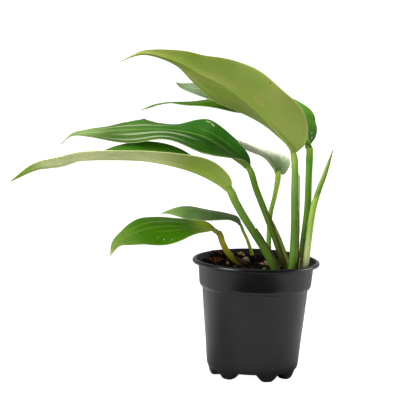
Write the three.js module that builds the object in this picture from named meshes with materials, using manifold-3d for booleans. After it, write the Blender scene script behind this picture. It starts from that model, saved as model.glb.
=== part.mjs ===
// Potted dragon tail plant: eight open leaves and one furled leaf, on stalks that rise from
// two short stems in a nursery pot of potting soil.
// Millimetres, +Z up. A point on the plant is measured from the pot's axis (x, y) and from the
// surface that the pot stands on (z). The group is then moved so that its origin is the middle
// of the whole plant's box, on that surface.

import * as THREE from "three";
import { mergeVertices } from "three/addons/utils/BufferGeometryUtils.js";
import Module from "manifold-3d";

const wasm = await Module();
wasm.setup();

// Pot: a thermoformed nursery pot, 127 mm across its rolled rim
const rimRadius = 63.5;
const rimOpening = 59.3;
const potHeight = 115.8;
const lipHeight = 4;
const bandTopRadius = 57.2;
const bandFootRadius = 55.7;
const bandFootHeight = 93;
const stepRadius = 53.1;
const stepHeight = 87.5;
const cornerRadius = 46.4;
const cornerHeight = 14;
const soleRadius = 43.4;
const soleHeight = 7.7;
const potWall = 1.2;
const potSegments = 40;

// Feet: four pairs of low hollow-backed feet round the sole, with wide arches between the pairs
const footPairs = 4;
const firstPairAngle = 35;
const footPairOffset = 18;
const footSpread = 15.5;
const footOuterRadius = 43.8;
const footInnerRadius = 30;
const toeSpread = 10.5;
const toeOuterRadius = 39;
const toeInnerRadius = 31;
const toeEdge = 1.6;
const footCorners = 12;
const drainRadius = 4;
const drainDistance = 33;

// Soil: potting mix filled nearly to the rim, a little higher at the back left
const soilLevel = 109.6;
const soilSegments = 28;
const soilGap = 0.3;
const chipCount = 16;

// Leaves
const seatGap = 0.3;
const stalkSides = 9;
const stalkSteps = 12;
const grooveScale = 0.84;
const bladeThickness = 0.8;
const tipHalfWidth = 0.5;
const ribColumns = [0.32, 0.6, 0.84, 1];
const bladeRows = 17;
const smallBladeRows = 13;
const endCrowding = 0.55;
const sliverSize = 0.04;

// Dry sheaths and husks
const stripRows = 7;
const stripColumns = 3;
const stripThickness = 0.7;
const stripGap = 0.4;
const stripTopShare = 0.25;

// Main stem, lying just under the soil, and the stub of an older stem beside it
const mainStem = {
  path: [[5, 5, 100], [14, -8, 101], [25, -15, 101.5], [36, -16, 101.5], [46, -14, 101]],
  radius: [4.5, 5.5, 6, 6, 4.5],
};
const oldStem = {
  path: [[-7, 12, 94], [-8, 15, 101], [-9, 18, 108], [-9.5, 19.5, 115.6]],
  radius: [4.5, 4.8, 5.2, 4.2],
};

// Each leaf: its stalk's path from the stem up, its midrib's path on from there to the tip, the
// turn of its upper side away from straight up, the fold of its near and far halves up from
// flat (both in degrees, base to tip), and the width and outline of one half.
const leaves = {
  top_leaf: {
    stalk: [[35, -17, 101], [35, -24, 109], [36, -25, 146], [35, -25, 185], [34, -25, 212]],
    midrib: [
      [32, -25, 226], [16, -25, 246], [-9, -26, 269], [-38, -28, 290],
      [-62, -30, 301], [-83, -32, 312], [-117, -34, 320], [-140, -35, 311],
    ],
    stalkRadius: [4.4, 4.3, 4, 3.9, 3.3],
    turn: [65, 55, 75, 75, 80],
    nearFold: [40, 12, 28, 55, 70],
    farFold: [60, 40, 30, 60, 55],
    halfWidth: 35,
    outline: [0.44, 1.5],
  },
  back_leaf: {
    stalk: [[44, -10, 101], [46, -6, 108], [48, -6, 138], [50, -6, 169], [49, -6, 199], [49, -6, 219]],
    midrib: [
      [50, -6, 229], [48, -3, 240], [42, 8, 260], [30, 22, 273], [7, 35, 277],
      [-21, 48, 274], [-47, 58, 270], [-72, 68, 266], [-98, 77, 264], [-124, 84, 257],
    ],
    stalkRadius: [3.6, 3.3, 3.1, 3, 2.7],
    turn: [0, -15, -25, -15, -10],
    nearFold: [-50, -50, -15, 0, 10],
    nearShare: [0.3, 0.55, 0.9, 1, 1],
    farFold: [-45, -30, -5, 0, 5],
    halfWidth: 26,
    outline: [0.48, 1.4],
  },
  middle_leaf: {
    stalk: [[27, -15, 101], [29, -12, 108], [20, -11, 133], [8, -9, 161], [-2, -6, 187]],
    midrib: [
      [-10, -4, 210], [-29, -6, 223], [-42, -8, 232], [-55, -10, 239], [-84, -14, 245],
      [-128, -18, 244], [-171, -22, 240], [-186, -23, 237], [-196, -24, 228],
    ],
    stalkRadius: [4.2, 3.8, 3.5, 3.2, 2.8],
    turn: [-15, -30, -20, -40, -25],
    nearFold: [30, 0, 0, -20, 0],
    farFold: [20, 0, -10, -10, -5],
    halfWidth: 28.5,
    outline: [0.58, 1.5],
    farRipple: { height: 2.2, count: 3.7, phase: 0.12 },
  },
  rear_leaf: {
    stalk: [[9, 1, 100], [13, 7, 110], [13, 10, 140], [14, 13, 161], [17, 18, 180]],
    midrib: [[19, 25, 203], [13, 40, 214], [0, 66, 223], [-18, 95, 227], [-34, 125, 229]],
    stalkRadius: [2.8, 2.6, 2.5, 2.4, 2.2],
    turn: [40, 20, 12, 12, 12],
    nearFold: [0, -5, 5, 10, 10],
    farFold: [0, 10, 0, 0, 0],
    halfWidth: 27,
    outline: [0.42, 1.2],
  },
  upper_back_leaf: {
    stalk: [[36, -14, 101], [37, -7, 109], [37, -5, 149], [35, -2, 189]],
    midrib: [
      [32, 4, 225], [23, 9.2, 248], [0, 19.5, 266], [-30, 26, 278],
      [-59, 32, 283], [-74, 35, 285], [-83, 37, 287], [-85, 37, 290],
    ],
    stalkRadius: [2.4, 2.4, 2.2, 1.9],
    turn: [-50, -58, -55, -40, -35],
    nearFold: [10, 5, 0, 0, 10],
    farFold: [10, 5, 0, -5, 10],
    halfWidth: 16,
    outline: [0.75, 0.8],
  },
  low_front_leaf: {
    stalk: [[-8, 14, 103], [-12, 5, 108], [-24, -8, 120], [-30, -12, 129]],
    midrib: [
      [-34, -14, 141], [-44, -18, 148], [-57, -22, 150], [-76, -27, 151], [-94, -32, 151],
      [-113, -37, 148], [-126, -40, 142], [-136, -42, 136], [-143, -44, 126],
    ],
    stalkRadius: [2.9, 2.7, 2.5, 2.1],
    turn: [-25, -20, -30, -30, -15],
    nearFold: [15, 5, -20, -5, 15],
    farFold: [-5, -5, -15, 0, 5],
    halfWidth: 21.5,
    outline: [0.78, 0.87],
  },
  low_back_leaf: {
    stalk: [[-8, 17, 105], [-2, 24, 110], [-8, 25, 131], [-13, 26, 141]],
    midrib: [
      [-16, 26, 147], [-22, 28, 153], [-33, 32, 156], [-48, 36, 158], [-77, 44, 159], [-96, 50, 153],
    ],
    stalkRadius: [2, 1.9, 1.8, 1.6],
    turn: [0, -5, -10, -15, -10],
    nearFold: [0, -10, -15, -15, 10],
    farFold: [0, -10, -15, -10, 5],
    halfWidth: 17.5,
    outline: [0.66, 0.81],
  },
  long_leaf: {
    stalk: [
      [17, -14, 101], [20, -22, 108], [8, -25, 129], [-4, -27, 147], [-15, -28, 163], [-23, -29, 178],
    ],
    midrib: [
      [-28, -30, 191], [-44, -31, 198], [-69, -33, 209], [-108, -36, 216], [-147, -40, 216],
      [-178, -44, 213], [-194, -46, 209], [-217, -48, 204], [-241, -50, 191],
    ],
    stalkRadius: [4.4, 4.2, 4, 3.9, 3.2],
    turn: [25, 5, 5, 25, 35],
    nearFold: [38, 23, 17, 16, 30],
    farFold: [27, 35, 30, 10, 15],
    halfWidth: 27.5,
    outline: [0.41, 0.92],
  },
};
const smallLeaves = ["upper_back_leaf", "low_front_leaf", "low_back_leaf"];

// New leaf: a pale sheath with the furled blade standing on out of it
const newLeaf = {
  sheath: [[45, -17, 101], [47.5, -19.5, 110], [50, -20, 134], [52, -20, 153], [54, -20, 171]],
  sheathRadius: [3.4, 3.3, 3.2, 3.2, 3],
  roll: [[56, -20, 179], [58, -20, 188], [64, -20, 206], [71, -20, 231]],
  rollRadius: [2.7, 2.4, 1.5, 0.4],
};

// Dry sheath remains: strips that follow a stalk from one height to another (millimetres along
// the stalk's path), facing an angle round it (degrees from +X), with a loose outer edge
const sheathStrips = {
  top_leaf_dry_sheath: { on: "top_leaf", from: 14, to: 108, facing: 0, span: 70, lift: 1.6 },
  middle_leaf_dry_sheath_left: { on: "middle_leaf", from: 14, to: 70, facing: -95, span: 45, lift: 0.7 },
  middle_leaf_dry_sheath_right: { on: "middle_leaf", from: 14, to: 66, facing: -15, span: 55, lift: 1.2 },
  long_leaf_dry_sheath: { on: "long_leaf", from: 16, to: 52, facing: 15, span: 60, lift: 1 },
  low_front_leaf_dry_sheath: { on: "low_front_leaf", from: 14, to: 34, facing: 20, span: 80, lift: 0.8 },
};

// Papery husks that stand in the soil round the stalks' feet
const husks = {
  husk_by_new_leaf: { on: "top_leaf", from: 6, to: 24, facing: 15, span: 75, lift: 2.2, clear: 2.2 },
  husk_by_middle_leaf: { on: "middle_leaf", from: 8, to: 20, facing: 175, span: 80, lift: 1.6, clear: 1.2 },
  husk_by_rear_leaf: { on: "rear_leaf", from: 9, to: 21, facing: -100, span: 110, lift: 1.5, clear: 1.4 },
};

// Colours
const finishes = {
  pot: { color: 0x26262a, roughness: 0.42 },
  soil: { color: 0x1d1812, roughness: 0.95 },
  stem: { color: 0x8f8a55, roughness: 0.7 },
  blade: { color: 0x3f6f22, roughness: 0.38 },
  stalk: { color: 0x6f9433, roughness: 0.45 },
  newGrowth: { color: 0xa6bf66, roughness: 0.45 },
  drySheath: { color: 0x5a4030, roughness: 0.85 },
};

const vector = (p) => new THREE.Vector3(p[0], p[1], p[2]);
const radians = THREE.MathUtils.degToRad;
const up = new THREE.Vector3(0, 0, 1);
const eastward = new THREE.Vector3(1, 0, 0);

// A value that runs smoothly through the listed ones as s goes from 0 to 1
function along(values, s) {
  return new THREE.SplineCurve(values.map((v) => new THREE.Vector2(v, 0))).getPoint(s).x;
}

function smoothPath(points) {
  return new THREE.CatmullRomCurve3(points, false, "centripetal");
}

// The stretch of a path between two of its own parameters, as a path of its own
function stretch(path, start, end, samples) {
  const points = [];
  for (let k = 0; k <= samples; k += 1) {
    points.push(path.getPoint(THREE.MathUtils.lerp(start, end, k / samples)));
  }
  return smoothPath(points);
}

function fromTriangles(points, faces) {
  const geometry = new THREE.BufferGeometry();
  geometry.setAttribute("position", new THREE.Float32BufferAttribute(points.flatMap((p) => p.toArray()), 3));
  geometry.setIndex(faces.flat());
  return geometry;
}

// A closed solid through rings of equally many points, with a fan at each end
function loft(rings) {
  const count = rings[0].length;
  const points = rings.flat();
  const faces = [];
  for (let i = 0; i < rings.length - 1; i += 1) {
    for (let j = 0; j < count; j += 1) {
      const a = i * count + j;
      const b = i * count + ((j + 1) % count);
      faces.push([a, b, b + count], [a, b + count, a + count]);
    }
  }
  const last = (rings.length - 1) * count;
  for (const [start, flip] of [[0, true], [last, false]]) {
    const centre = new THREE.Vector3();
    rings[start / count].forEach((p) => centre.addScaledVector(p, 1 / count));
    points.push(centre);
    const middle = points.length - 1;
    for (let j = 0; j < count; j += 1) {
      const a = start + j;
      const b = start + ((j + 1) % count);
      faces.push(flip ? [b, a, middle] : [a, b, middle]);
    }
  }
  return fromTriangles(points, faces);
}

// A closed thin solid between two equal grids of points, split alike on both faces
function sheet(upper, lower) {
  const rows = upper.length;
  const columns = upper[0].length;
  const points = [...upper.flat(), ...lower.flat()];
  const under = rows * columns;
  const faces = [];
  for (let i = 0; i < rows - 1; i += 1) {
    for (let j = 0; j < columns - 1; j += 1) {
      const a = i * columns + j;
      const b = a + 1;
      const c = a + columns + 1;
      const d = a + columns;
      faces.push([a, b, c], [a, c, d]);
      faces.push([under + a, under + c, under + b], [under + a, under + d, under + c]);
    }
  }
  const border = [];
  for (let j = 0; j < columns - 1; j += 1) border.push(j);
  for (let i = 0; i < rows - 1; i += 1) border.push(i * columns + columns - 1);
  for (let j = columns - 1; j > 0; j -= 1) border.push((rows - 1) * columns + j);
  for (let i = rows - 1; i > 0; i -= 1) border.push(i * columns);
  border.forEach((a, k) => {
    const b = border[(k + 1) % border.length];
    faces.push([a, under + b, b], [a, under + a, under + b]);
  });
  return fromTriangles(points, faces);
}

function solidOf(geometry) {
  const bare = geometry.clone();
  bare.deleteAttribute("normal");
  bare.deleteAttribute("uv");
  const merged = mergeVertices(bare, 1e-4);
  const corners = [];
  const index = merged.index.array;
  for (let i = 0; i < index.length; i += 3) {
    const [a, b, c] = [index[i], index[i + 1], index[i + 2]];
    if (a !== b && b !== c && c !== a) corners.push(a, b, c);
  }
  const vertProperties = merged.attributes.position.array;
  const triVerts = new Uint32Array(corners);
  return new wasm.Manifold(new wasm.Mesh({ numProp: 3, vertProperties, triVerts }));
}

function geometryOf(solid) {
  const mesh = solid.getMesh();
  const geometry = new THREE.BufferGeometry();
  geometry.setAttribute("position", new THREE.BufferAttribute(mesh.vertProperties, 3));
  geometry.setIndex(new THREE.BufferAttribute(mesh.triVerts, 1));
  return geometry;
}

// The largest body of a solid, without the scraps and slivers that a cut leaves
function mainBody(solid) {
  return solid.decompose().sort((a, b) => b.volume() - a.volume())[0].simplify(sliverSize);
}

// Rings round a path: radius gives the distance at each share of its length and angle round it,
// and the angle is counted from the reference direction
function ringsRound(path, steps, sides, radius, reference = eastward) {
  const rings = [];
  for (let i = 0; i <= steps; i += 1) {
    const s = i / steps;
    const centre = path.getPointAt(s);
    const tangent = path.getTangentAt(s);
    const first = reference.clone().projectOnPlane(tangent).normalize();
    const second = new THREE.Vector3().crossVectors(tangent, first);
    const ring = [];
    for (let j = 0; j < sides; j += 1) {
      const angle = (2 * Math.PI * j) / sides;
      const reach = radius(s, angle);
      ring.push(
        centre.clone()
          .addScaledVector(first, reach * Math.cos(angle))
          .addScaledVector(second, reach * Math.sin(angle)),
      );
    }
    rings.push(ring);
  }
  return rings;
}

function tube(path, radii, steps, sides, extra = 0, reference = eastward) {
  return loft(ringsRound(path, steps, sides, (s) => along(radii, s) + extra, reference));
}

// Pot

function potProfile() {
  const outer = [
    [0, soleHeight - potWall / 2],
    [soleRadius - 1.5, soleHeight - potWall / 2],
    [soleRadius, soleHeight],
    [soleRadius + 1.9, soleHeight + 2.6],
    [cornerRadius, cornerHeight],
    [stepRadius, stepHeight],
    [stepRadius + 1.7, stepHeight + 1.6],
    [bandFootRadius, bandFootHeight],
    [bandTopRadius, potHeight - lipHeight - 1.6],
    [bandTopRadius + 1.2, potHeight - lipHeight - 0.2],
    [rimRadius - 1.2, potHeight - lipHeight],
    [rimRadius, potHeight - lipHeight + 1.1],
    [rimRadius, potHeight - 1.6],
    [rimRadius - 1.2, potHeight - 0.3],
    [rimRadius - 2.4, potHeight],
  ];
  const inner = [
    [rimOpening + 0.6, potHeight - 0.3],
    [rimOpening - 0.6, potHeight - 1.4],
    [bandTopRadius - potWall + 0.7, potHeight - lipHeight],
    [bandTopRadius - potWall, potHeight - lipHeight - 2.6],
    [bandFootRadius - potWall, bandFootHeight],
    [stepRadius - potWall, stepHeight],
    [cornerRadius - potWall, cornerHeight],
    [soleRadius - potWall, soleHeight + potWall],
    [0, soleHeight + potWall],
  ];
  return { outer, inner };
}

function latheAboutZ(profile, segments) {
  const points = profile.map(([r, z]) => new THREE.Vector2(r, z));
  return new THREE.LatheGeometry(points, segments).rotateX(Math.PI / 2);
}

// The pot's inner radius at a height, from the inner profile
function innerRadiusAt(z) {
  const wall = potProfile().inner;
  const k = wall.findIndex((p) => p[1] <= z);
  const [above, below] = [wall[k - 1], wall[k]];
  return THREE.MathUtils.mapLinear(z, below[1], above[1], below[0], above[0]);
}

// A point round the pot: angle 0 is the front, and angles run towards +X
function aroundPot(radius, angle, z) {
  return new THREE.Vector3(radius * Math.sin(radians(angle)), -radius * Math.cos(radians(angle)), z);
}

function footSolid(angle) {
  const ringAt = (z, inner, outer, spread) => {
    const ring = [];
    for (let j = 0; j < footCorners; j += 1) {
      const t = (2 * Math.PI * j) / footCorners;
      const round = (v) => Math.sign(v) * Math.sqrt(Math.abs(v));
      const reach = (outer + inner) / 2 + ((outer - inner) / 2) * round(Math.cos(t));
      ring.push(aroundPot(reach, angle + spread * round(Math.sin(t)), z));
    }
    return ring;
  };
  const rings = [
    ringAt(0, toeInnerRadius, toeOuterRadius, toeSpread),
    ringAt(toeEdge, toeInnerRadius - toeEdge, toeOuterRadius + 2 * toeEdge, toeSpread + 2 * toeEdge),
    ringAt(soleHeight, footInnerRadius, footOuterRadius, footSpread),
    ringAt(soleHeight + potWall / 2, footInnerRadius, footOuterRadius, footSpread),
  ];
  return solidOf(loft(rings));
}

function potSolid() {
  const { outer, inner } = potProfile();
  let pot = solidOf(latheAboutZ([...outer, ...inner], potSegments));
  for (let pair = 0; pair < footPairs; pair += 1) {
    const centre = firstPairAngle + (360 / footPairs) * pair;
    pot = pot.add(footSolid(centre - footPairOffset)).add(footSolid(centre + footPairOffset));
    const drain = new THREE.CylinderGeometry(drainRadius, drainRadius, 4 * potWall, 16);
    const place = aroundPot(drainDistance, centre + 180 / footPairs, soleHeight + potWall / 2);
    pot = pot.subtract(solidOf(drain.rotateX(Math.PI / 2).translate(place.x, place.y, place.z)));
  }
  return pot;
}

// Soil

function soilHeight(x, y) {
  const slope = 0.03 * y;
  const heap = 2.6 * Math.exp(-((x + 34) ** 2 + (y - 34) ** 2) / 700);
  const broad = 0.8 * Math.sin(x / 7.5 + 1.1) * Math.cos(y / 6.5);
  const fine = 0.6 * Math.sin((x + 2 * y) / 5 + 0.4) * Math.sin((2 * x - y) / 6.5);
  return soilLevel + slope + heap + broad + fine;
}

function seededRandom(seed) {
  let state = seed;
  return () => {
    state = (state * 1664525 + 1013904223) % 4294967296;
    return state / 4294967296;
  };
}

function soilSolid(stalkHoles) {
  const ringAt = (radius, height) => {
    const ring = [];
    for (let j = 0; j < soilSegments; j += 1) {
      const point = aroundPot(radius, (360 * j) / soilSegments, 0);
      point.z = height(point.x, point.y);
      ring.push(point);
    }
    return ring;
  };
  const wall = potProfile().inner.slice(3, -1).reverse();
  const rings = wall.map(([radius, z], k) => ringAt(radius - soilGap, () => z + (k === 0 ? soilGap : 0)));
  const edge = innerRadiusAt(soilLevel) - soilGap;
  for (const share of [1, 0.9, 0.8, 0.68, 0.56, 0.44, 0.32, 0.2, 0.08]) {
    rings.push(ringAt(edge * share, soilHeight));
  }
  let soil = solidOf(loft(rings));
  const random = seededRandom(7);
  for (let k = 0; k < chipCount; k += 1) {
    const angle = 360 * random();
    const place = aroundPot(edge * 0.9 * Math.sqrt(random()), angle, 0);
    const chip = new THREE.BoxGeometry(4 + 4 * random(), 2.4 + 2 * random(), 1.6 + random());
    chip.rotateX(0.5 * random() - 0.25).rotateY(0.5 * random() - 0.25).rotateZ(6 * random());
    chip.translate(place.x, place.y, soilHeight(place.x, place.y) + 0.3);
    soil = soil.add(solidOf(chip));
  }
  for (const hole of stalkHoles) soil = soil.subtract(hole);
  return mainBody(soil);
}

// Leaves

// A leaf's whole path, from stem to tip, and the parameter on it where the blade begins
function leafPaths(leaf) {
  const points = [...leaf.stalk, ...leaf.midrib].map(vector);
  const whole = smoothPath(points);
  const joint = leaf.stalk.length / (points.length - 1);
  return { stalk: stretch(whole, 0, joint, 30), blade: stretch(whole, joint, 1, 60) };
}

// A path with a little taken off its start or its end
function trimmed(path, fromStart, fromEnd) {
  const length = path.getLength();
  const points = [];
  for (let k = 0; k <= 60; k += 1) {
    const s = THREE.MathUtils.lerp(fromStart / length, 1 - fromEnd / length, k / 60);
    points.push(path.getPointAt(s));
  }
  return smoothPath(points);
}

// A stalk is round with a shallow groove along its upper side
function stalkGeometry(path, radii, steps, extra = 0) {
  const groove = (angle) => (angle === 0 ? grooveScale : 1);
  return loft(ringsRound(path, steps, stalkSides, (s, angle) => along(radii, s) * groove(angle) + extra));
}

function halfWidthAt(leaf, s) {
  const [rise, fall] = leaf.outline;
  const lobe = (x) => x ** rise * (1 - x) ** fall;
  const full = (leaf.halfWidth * lobe(s)) / lobe(rise / (rise + fall));
  const foot = leaf.stalkRadius.at(-1) * Math.max(0, 1 - s / 0.04);
  return Math.max(full, foot, tipHalfWidth);
}

// The height of a wavy margin, which dies out towards both ends of the blade
function rippleAt(ripple, s) {
  return ripple.height * Math.sin(2 * Math.PI * (ripple.count * s + ripple.phase)) * Math.sin(Math.PI * s);
}

// A blade: rows across the midrib, which stands out below as a rib that thins towards the tip
function bladeGeometry(leaf, path, rows) {
  const upper = [];
  const lower = [];
  for (let i = 0; i <= rows; i += 1) {
    const even = i / rows;
    const s = THREE.MathUtils.lerp(even, 0.5 - 0.5 * Math.cos(Math.PI * even), endCrowding);
    const centre = path.getPointAt(s);
    const tangent = path.getTangentAt(s);
    const lifted = up.clone().projectOnPlane(tangent).normalize();
    const across = new THREE.Vector3().crossVectors(tangent, lifted);
    const turn = radians(along(leaf.turn, s));
    const face = lifted.clone().multiplyScalar(Math.cos(turn)).addScaledVector(across, Math.sin(turn));
    const far = new THREE.Vector3().crossVectors(tangent, face);
    const width = halfWidthAt(leaf, s);
    const rib = Math.min(leaf.stalkRadius.at(-1) * (1 - 0.85 * s), 0.7 * width);
    const upperRow = [];
    const lowerRow = [];
    const nearWidth = width * along(leaf.nearShare ?? [1, 1], s);
    const place = (side, reach, share) => {
      const fold = radians(along(side > 0 ? leaf.farFold : leaf.nearFold, s));
      const [c, d] = [Math.cos(fold), Math.sin(fold)];
      const out = far.clone().multiplyScalar(side * c).addScaledVector(face, d);
      const normal = far.clone().multiplyScalar(-side * d).addScaledVector(face, c);
      const lift = side > 0 && leaf.farRipple ? rippleAt(leaf.farRipple, s) * share * share : 0;
      const point = centre.clone().addScaledVector(out, reach).addScaledVector(normal, lift);
      upperRow.push(point.clone().addScaledVector(normal, bladeThickness / 2));
      lowerRow.push(point.addScaledVector(normal, -bladeThickness / 2));
    };
    for (const share of ribColumns.toReversed()) {
      place(-1, rib + Math.max(nearWidth - rib, 0.3) * share, share);
    }
    place(-1, rib, 0);
    upperRow.push(centre.clone().addScaledVector(face, bladeThickness / 2));
    lowerRow.push(centre.clone().addScaledVector(face, -bladeThickness / 2 - rib));
    place(1, rib, 0);
    for (const share of ribColumns) place(1, rib + (width - rib) * share, share);
    upper.push(upperRow);
    lower.push(lowerRow);
  }
  return sheet(upper, lower);
}

// A strip that follows a stalk at a small distance, narrower and looser towards its top
function stripGeometry(strip, path, radii, extra = 0) {
  const length = path.getLength();
  const thickness = stripThickness + 2 * extra;
  const upper = [];
  const lower = [];
  for (let i = 0; i <= stripRows; i += 1) {
    const t = i / stripRows;
    const s = THREE.MathUtils.lerp(strip.from - extra, strip.to + extra, t) / length;
    const centre = path.getPointAt(s);
    const tangent = path.getTangentAt(s);
    const first = eastward.clone().projectOnPlane(tangent).normalize();
    const second = new THREE.Vector3().crossVectors(tangent, first);
    const close = along(radii, s) + (strip.clear ?? stripGap) - extra;
    const taper = THREE.MathUtils.lerp(1, stripTopShare, t ** 2);
    const upperRow = [];
    const lowerRow = [];
    for (let j = 0; j <= stripColumns; j += 1) {
      const u = j / stripColumns;
      const angle = radians(strip.facing + (strip.span + 10 * extra) * (u - 0.5) * taper);
      const out = first.clone().multiplyScalar(Math.cos(angle)).addScaledVector(second, Math.sin(angle));
      const loose = strip.lift * (0.4 + 0.6 * t) * u * u;
      upperRow.push(centre.clone().addScaledVector(out, close + loose + thickness));
      lowerRow.push(centre.clone().addScaledVector(out, close + loose));
    }
    upper.push(upperRow);
    lower.push(lowerRow);
  }
  return sheet(upper, lower);
}

// Assembly

const plant = new THREE.Group();

function addMesh(name, geometry, finish) {
  const mesh = new THREE.Mesh(geometry, new THREE.MeshStandardMaterial({ ...finish, metalness: 0 }));
  mesh.name = name;
  plant.add(mesh);
}

const mainPath = smoothPath(mainStem.path.map(vector));
const oldPath = smoothPath(oldStem.path.map(vector));
const stemRoom = solidOf(tube(mainPath, mainStem.radius, 12, 12, soilGap, up))
  .add(solidOf(tube(oldPath, oldStem.radius, 10, 12, soilGap)));
const holes = [stemRoom];

addMesh("pot", geometryOf(potSolid()), finishes.pot);
addMesh("main_stem", tube(mainPath, mainStem.radius, 12, 12, 0, up), finishes.stem);
addMesh("old_stem", tube(oldPath, oldStem.radius, 10, 12), finishes.stem);

const strips = Object.entries({ ...sheathStrips, ...husks });
for (const [name, leaf] of Object.entries(leaves)) {
  const paths = leafPaths(leaf);
  const stalkPath = trimmed(paths.stalk, 0, seatGap / 2);
  const stalk = solidOf(stalkGeometry(stalkPath, leaf.stalkRadius, stalkSteps)).subtract(stemRoom);
  addMesh(name + "_stalk", geometryOf(mainBody(stalk)), finishes.stalk);
  const rows = smallLeaves.includes(name) ? smallBladeRows : bladeRows;
  addMesh(name + "_blade", bladeGeometry(leaf, trimmed(paths.blade, 2 * seatGap, 0), rows), finishes.blade);
  holes.push(solidOf(stalkGeometry(stalkPath, leaf.stalkRadius, stalkSteps, soilGap)));
  for (const [stripName, strip] of strips) {
    if (strip.on === name) {
      addMesh(stripName, stripGeometry(strip, stalkPath, leaf.stalkRadius), finishes.drySheath);
      holes.push(solidOf(stripGeometry(strip, stalkPath, leaf.stalkRadius, soilGap)));
    }
  }
}

const sheathPath = trimmed(smoothPath([...newLeaf.sheath, newLeaf.roll[0]].map(vector)), 0, seatGap);
const sheathSolid = solidOf(tube(sheathPath, newLeaf.sheathRadius, stalkSteps, stalkSides));
addMesh("new_leaf_sheath", geometryOf(mainBody(sheathSolid.subtract(stemRoom))), finishes.newGrowth);
holes.push(solidOf(tube(sheathPath, newLeaf.sheathRadius, stalkSteps, stalkSides, soilGap)));
const rollPath = smoothPath(newLeaf.roll.map(vector));
addMesh("new_leaf_roll", tube(rollPath, newLeaf.rollRadius, 10, stalkSides), finishes.newGrowth);

addMesh("soil", geometryOf(soilSolid(holes)), finishes.soil);

const box = new THREE.Box3().setFromObject(plant, true);
const middle = box.getCenter(new THREE.Vector3());
plant.position.set(-middle.x, -middle.y, 0);

export default plant;
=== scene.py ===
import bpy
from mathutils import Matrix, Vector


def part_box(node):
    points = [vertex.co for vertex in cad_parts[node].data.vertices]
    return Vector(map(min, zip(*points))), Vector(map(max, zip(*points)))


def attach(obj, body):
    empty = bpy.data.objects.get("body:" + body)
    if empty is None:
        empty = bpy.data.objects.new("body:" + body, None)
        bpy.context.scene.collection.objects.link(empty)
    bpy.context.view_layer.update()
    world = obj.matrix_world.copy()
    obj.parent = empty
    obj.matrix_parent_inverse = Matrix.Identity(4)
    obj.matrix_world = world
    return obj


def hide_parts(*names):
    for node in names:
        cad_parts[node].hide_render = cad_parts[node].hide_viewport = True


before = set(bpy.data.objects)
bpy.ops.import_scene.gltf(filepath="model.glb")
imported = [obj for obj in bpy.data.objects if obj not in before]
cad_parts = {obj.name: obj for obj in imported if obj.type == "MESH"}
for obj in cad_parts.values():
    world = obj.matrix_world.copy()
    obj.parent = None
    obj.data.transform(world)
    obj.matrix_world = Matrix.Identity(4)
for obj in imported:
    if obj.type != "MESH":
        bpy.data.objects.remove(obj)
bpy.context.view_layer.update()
print("frame loaded")

import math
import random

import bpy
from mathutils import Matrix, Vector, noise

mm = 0.001
potLow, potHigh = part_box("pot")
potAxis = Vector(((potLow.x + potHigh.x) / 2, (potLow.y + potHigh.y) / 2, 0))


def at(x, y, z):  # millimetres from the pot's axis and the floor, to the frame's metres
    return potAxis + Vector((x, y, z)) * mm


# Camera

view = {"place": (-50, -1488.2, 354.5), "pitch": 82.8, "roll": 1.95, "lens": 129.8, "sensor": 36}

bpy.ops.object.camera_add(location=at(*view["place"]))
sceneCamera = bpy.context.object
pitched = Matrix.Rotation(math.radians(view["pitch"]), 3, "X")
tilt = pitched @ Matrix.Rotation(math.radians(view["roll"]), 3, "Z")
sceneCamera.rotation_euler = tilt.to_euler()
sceneCamera.data.sensor_width = view["sensor"]
sceneCamera.data.lens = view["lens"]
sceneCamera.data.clip_end = 20
bpy.context.scene.camera = sceneCamera


# Shader node helpers

def tone(red, green, blue):  # a colour as a picture editor gives it, 0 to 255
    def linear(value):
        share = value / 255
        return share / 12.92 if share <= 0.04045 else ((share + 0.055) / 1.055) ** 2.4
    return (linear(red), linear(green), linear(blue), 1)


def feed(tree, socket, value):
    if isinstance(value, bpy.types.NodeSocket):
        tree.links.new(value, socket)
    else:
        socket.default_value = value


def calc(tree, operation, a, b=0.0, clamp=False):
    node = tree.nodes.new("ShaderNodeMath")
    node.operation = operation
    node.use_clamp = clamp
    feed(tree, node.inputs[0], a)
    feed(tree, node.inputs[1], b)
    return node.outputs[0]


def times(tree, a, b):
    return calc(tree, "MULTIPLY", a, b)


def plus(tree, a, b):
    return calc(tree, "ADD", a, b)


def minus(tree, a, b):
    return calc(tree, "SUBTRACT", a, b)


def fit(tree, value, low, high, outLow=0.0, outHigh=1.0):  # eased from one range into another
    node = tree.nodes.new("ShaderNodeMapRange")
    node.interpolation_type = "SMOOTHSTEP"
    for socket, given in zip(node.inputs, (value, low, high, outLow, outHigh)):
        feed(tree, socket, given)
    return node.outputs[0]


def mixed(tree, share, first, second, blend="MIX"):
    node = tree.nodes.new("ShaderNodeMix")
    node.data_type = "RGBA"
    node.blend_type = blend
    feed(tree, node.inputs[0], share)
    feed(tree, node.inputs[6], first)
    feed(tree, node.inputs[7], second)
    return node.outputs[2]


def ramped(tree, value, stops):
    node = tree.nodes.new("ShaderNodeValToRGB")
    node.color_ramp.interpolation = "EASE"
    while len(node.color_ramp.elements) < len(stops):
        node.color_ramp.elements.new(0.5)
    for element, (place, colour) in zip(node.color_ramp.elements, stops):
        element.position = place
        element.color = tone(*colour)
    feed(tree, node.inputs[0], value)
    return node.outputs[0]


def noisy(tree, vector, scale, detail=2.0, roughness=0.5):
    node = tree.nodes.new("ShaderNodeTexNoise")
    feed(tree, node.inputs["Vector"], vector)
    feed(tree, node.inputs["Scale"], scale)
    node.inputs["Detail"].default_value = detail
    node.inputs["Roughness"].default_value = roughness
    return node.outputs["Fac"]


def packed(tree, x, y, z):
    node = tree.nodes.new("ShaderNodeCombineXYZ")
    for socket, value in zip(node.inputs, (x, y, z)):
        feed(tree, socket, value)
    return node.outputs[0]


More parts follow.
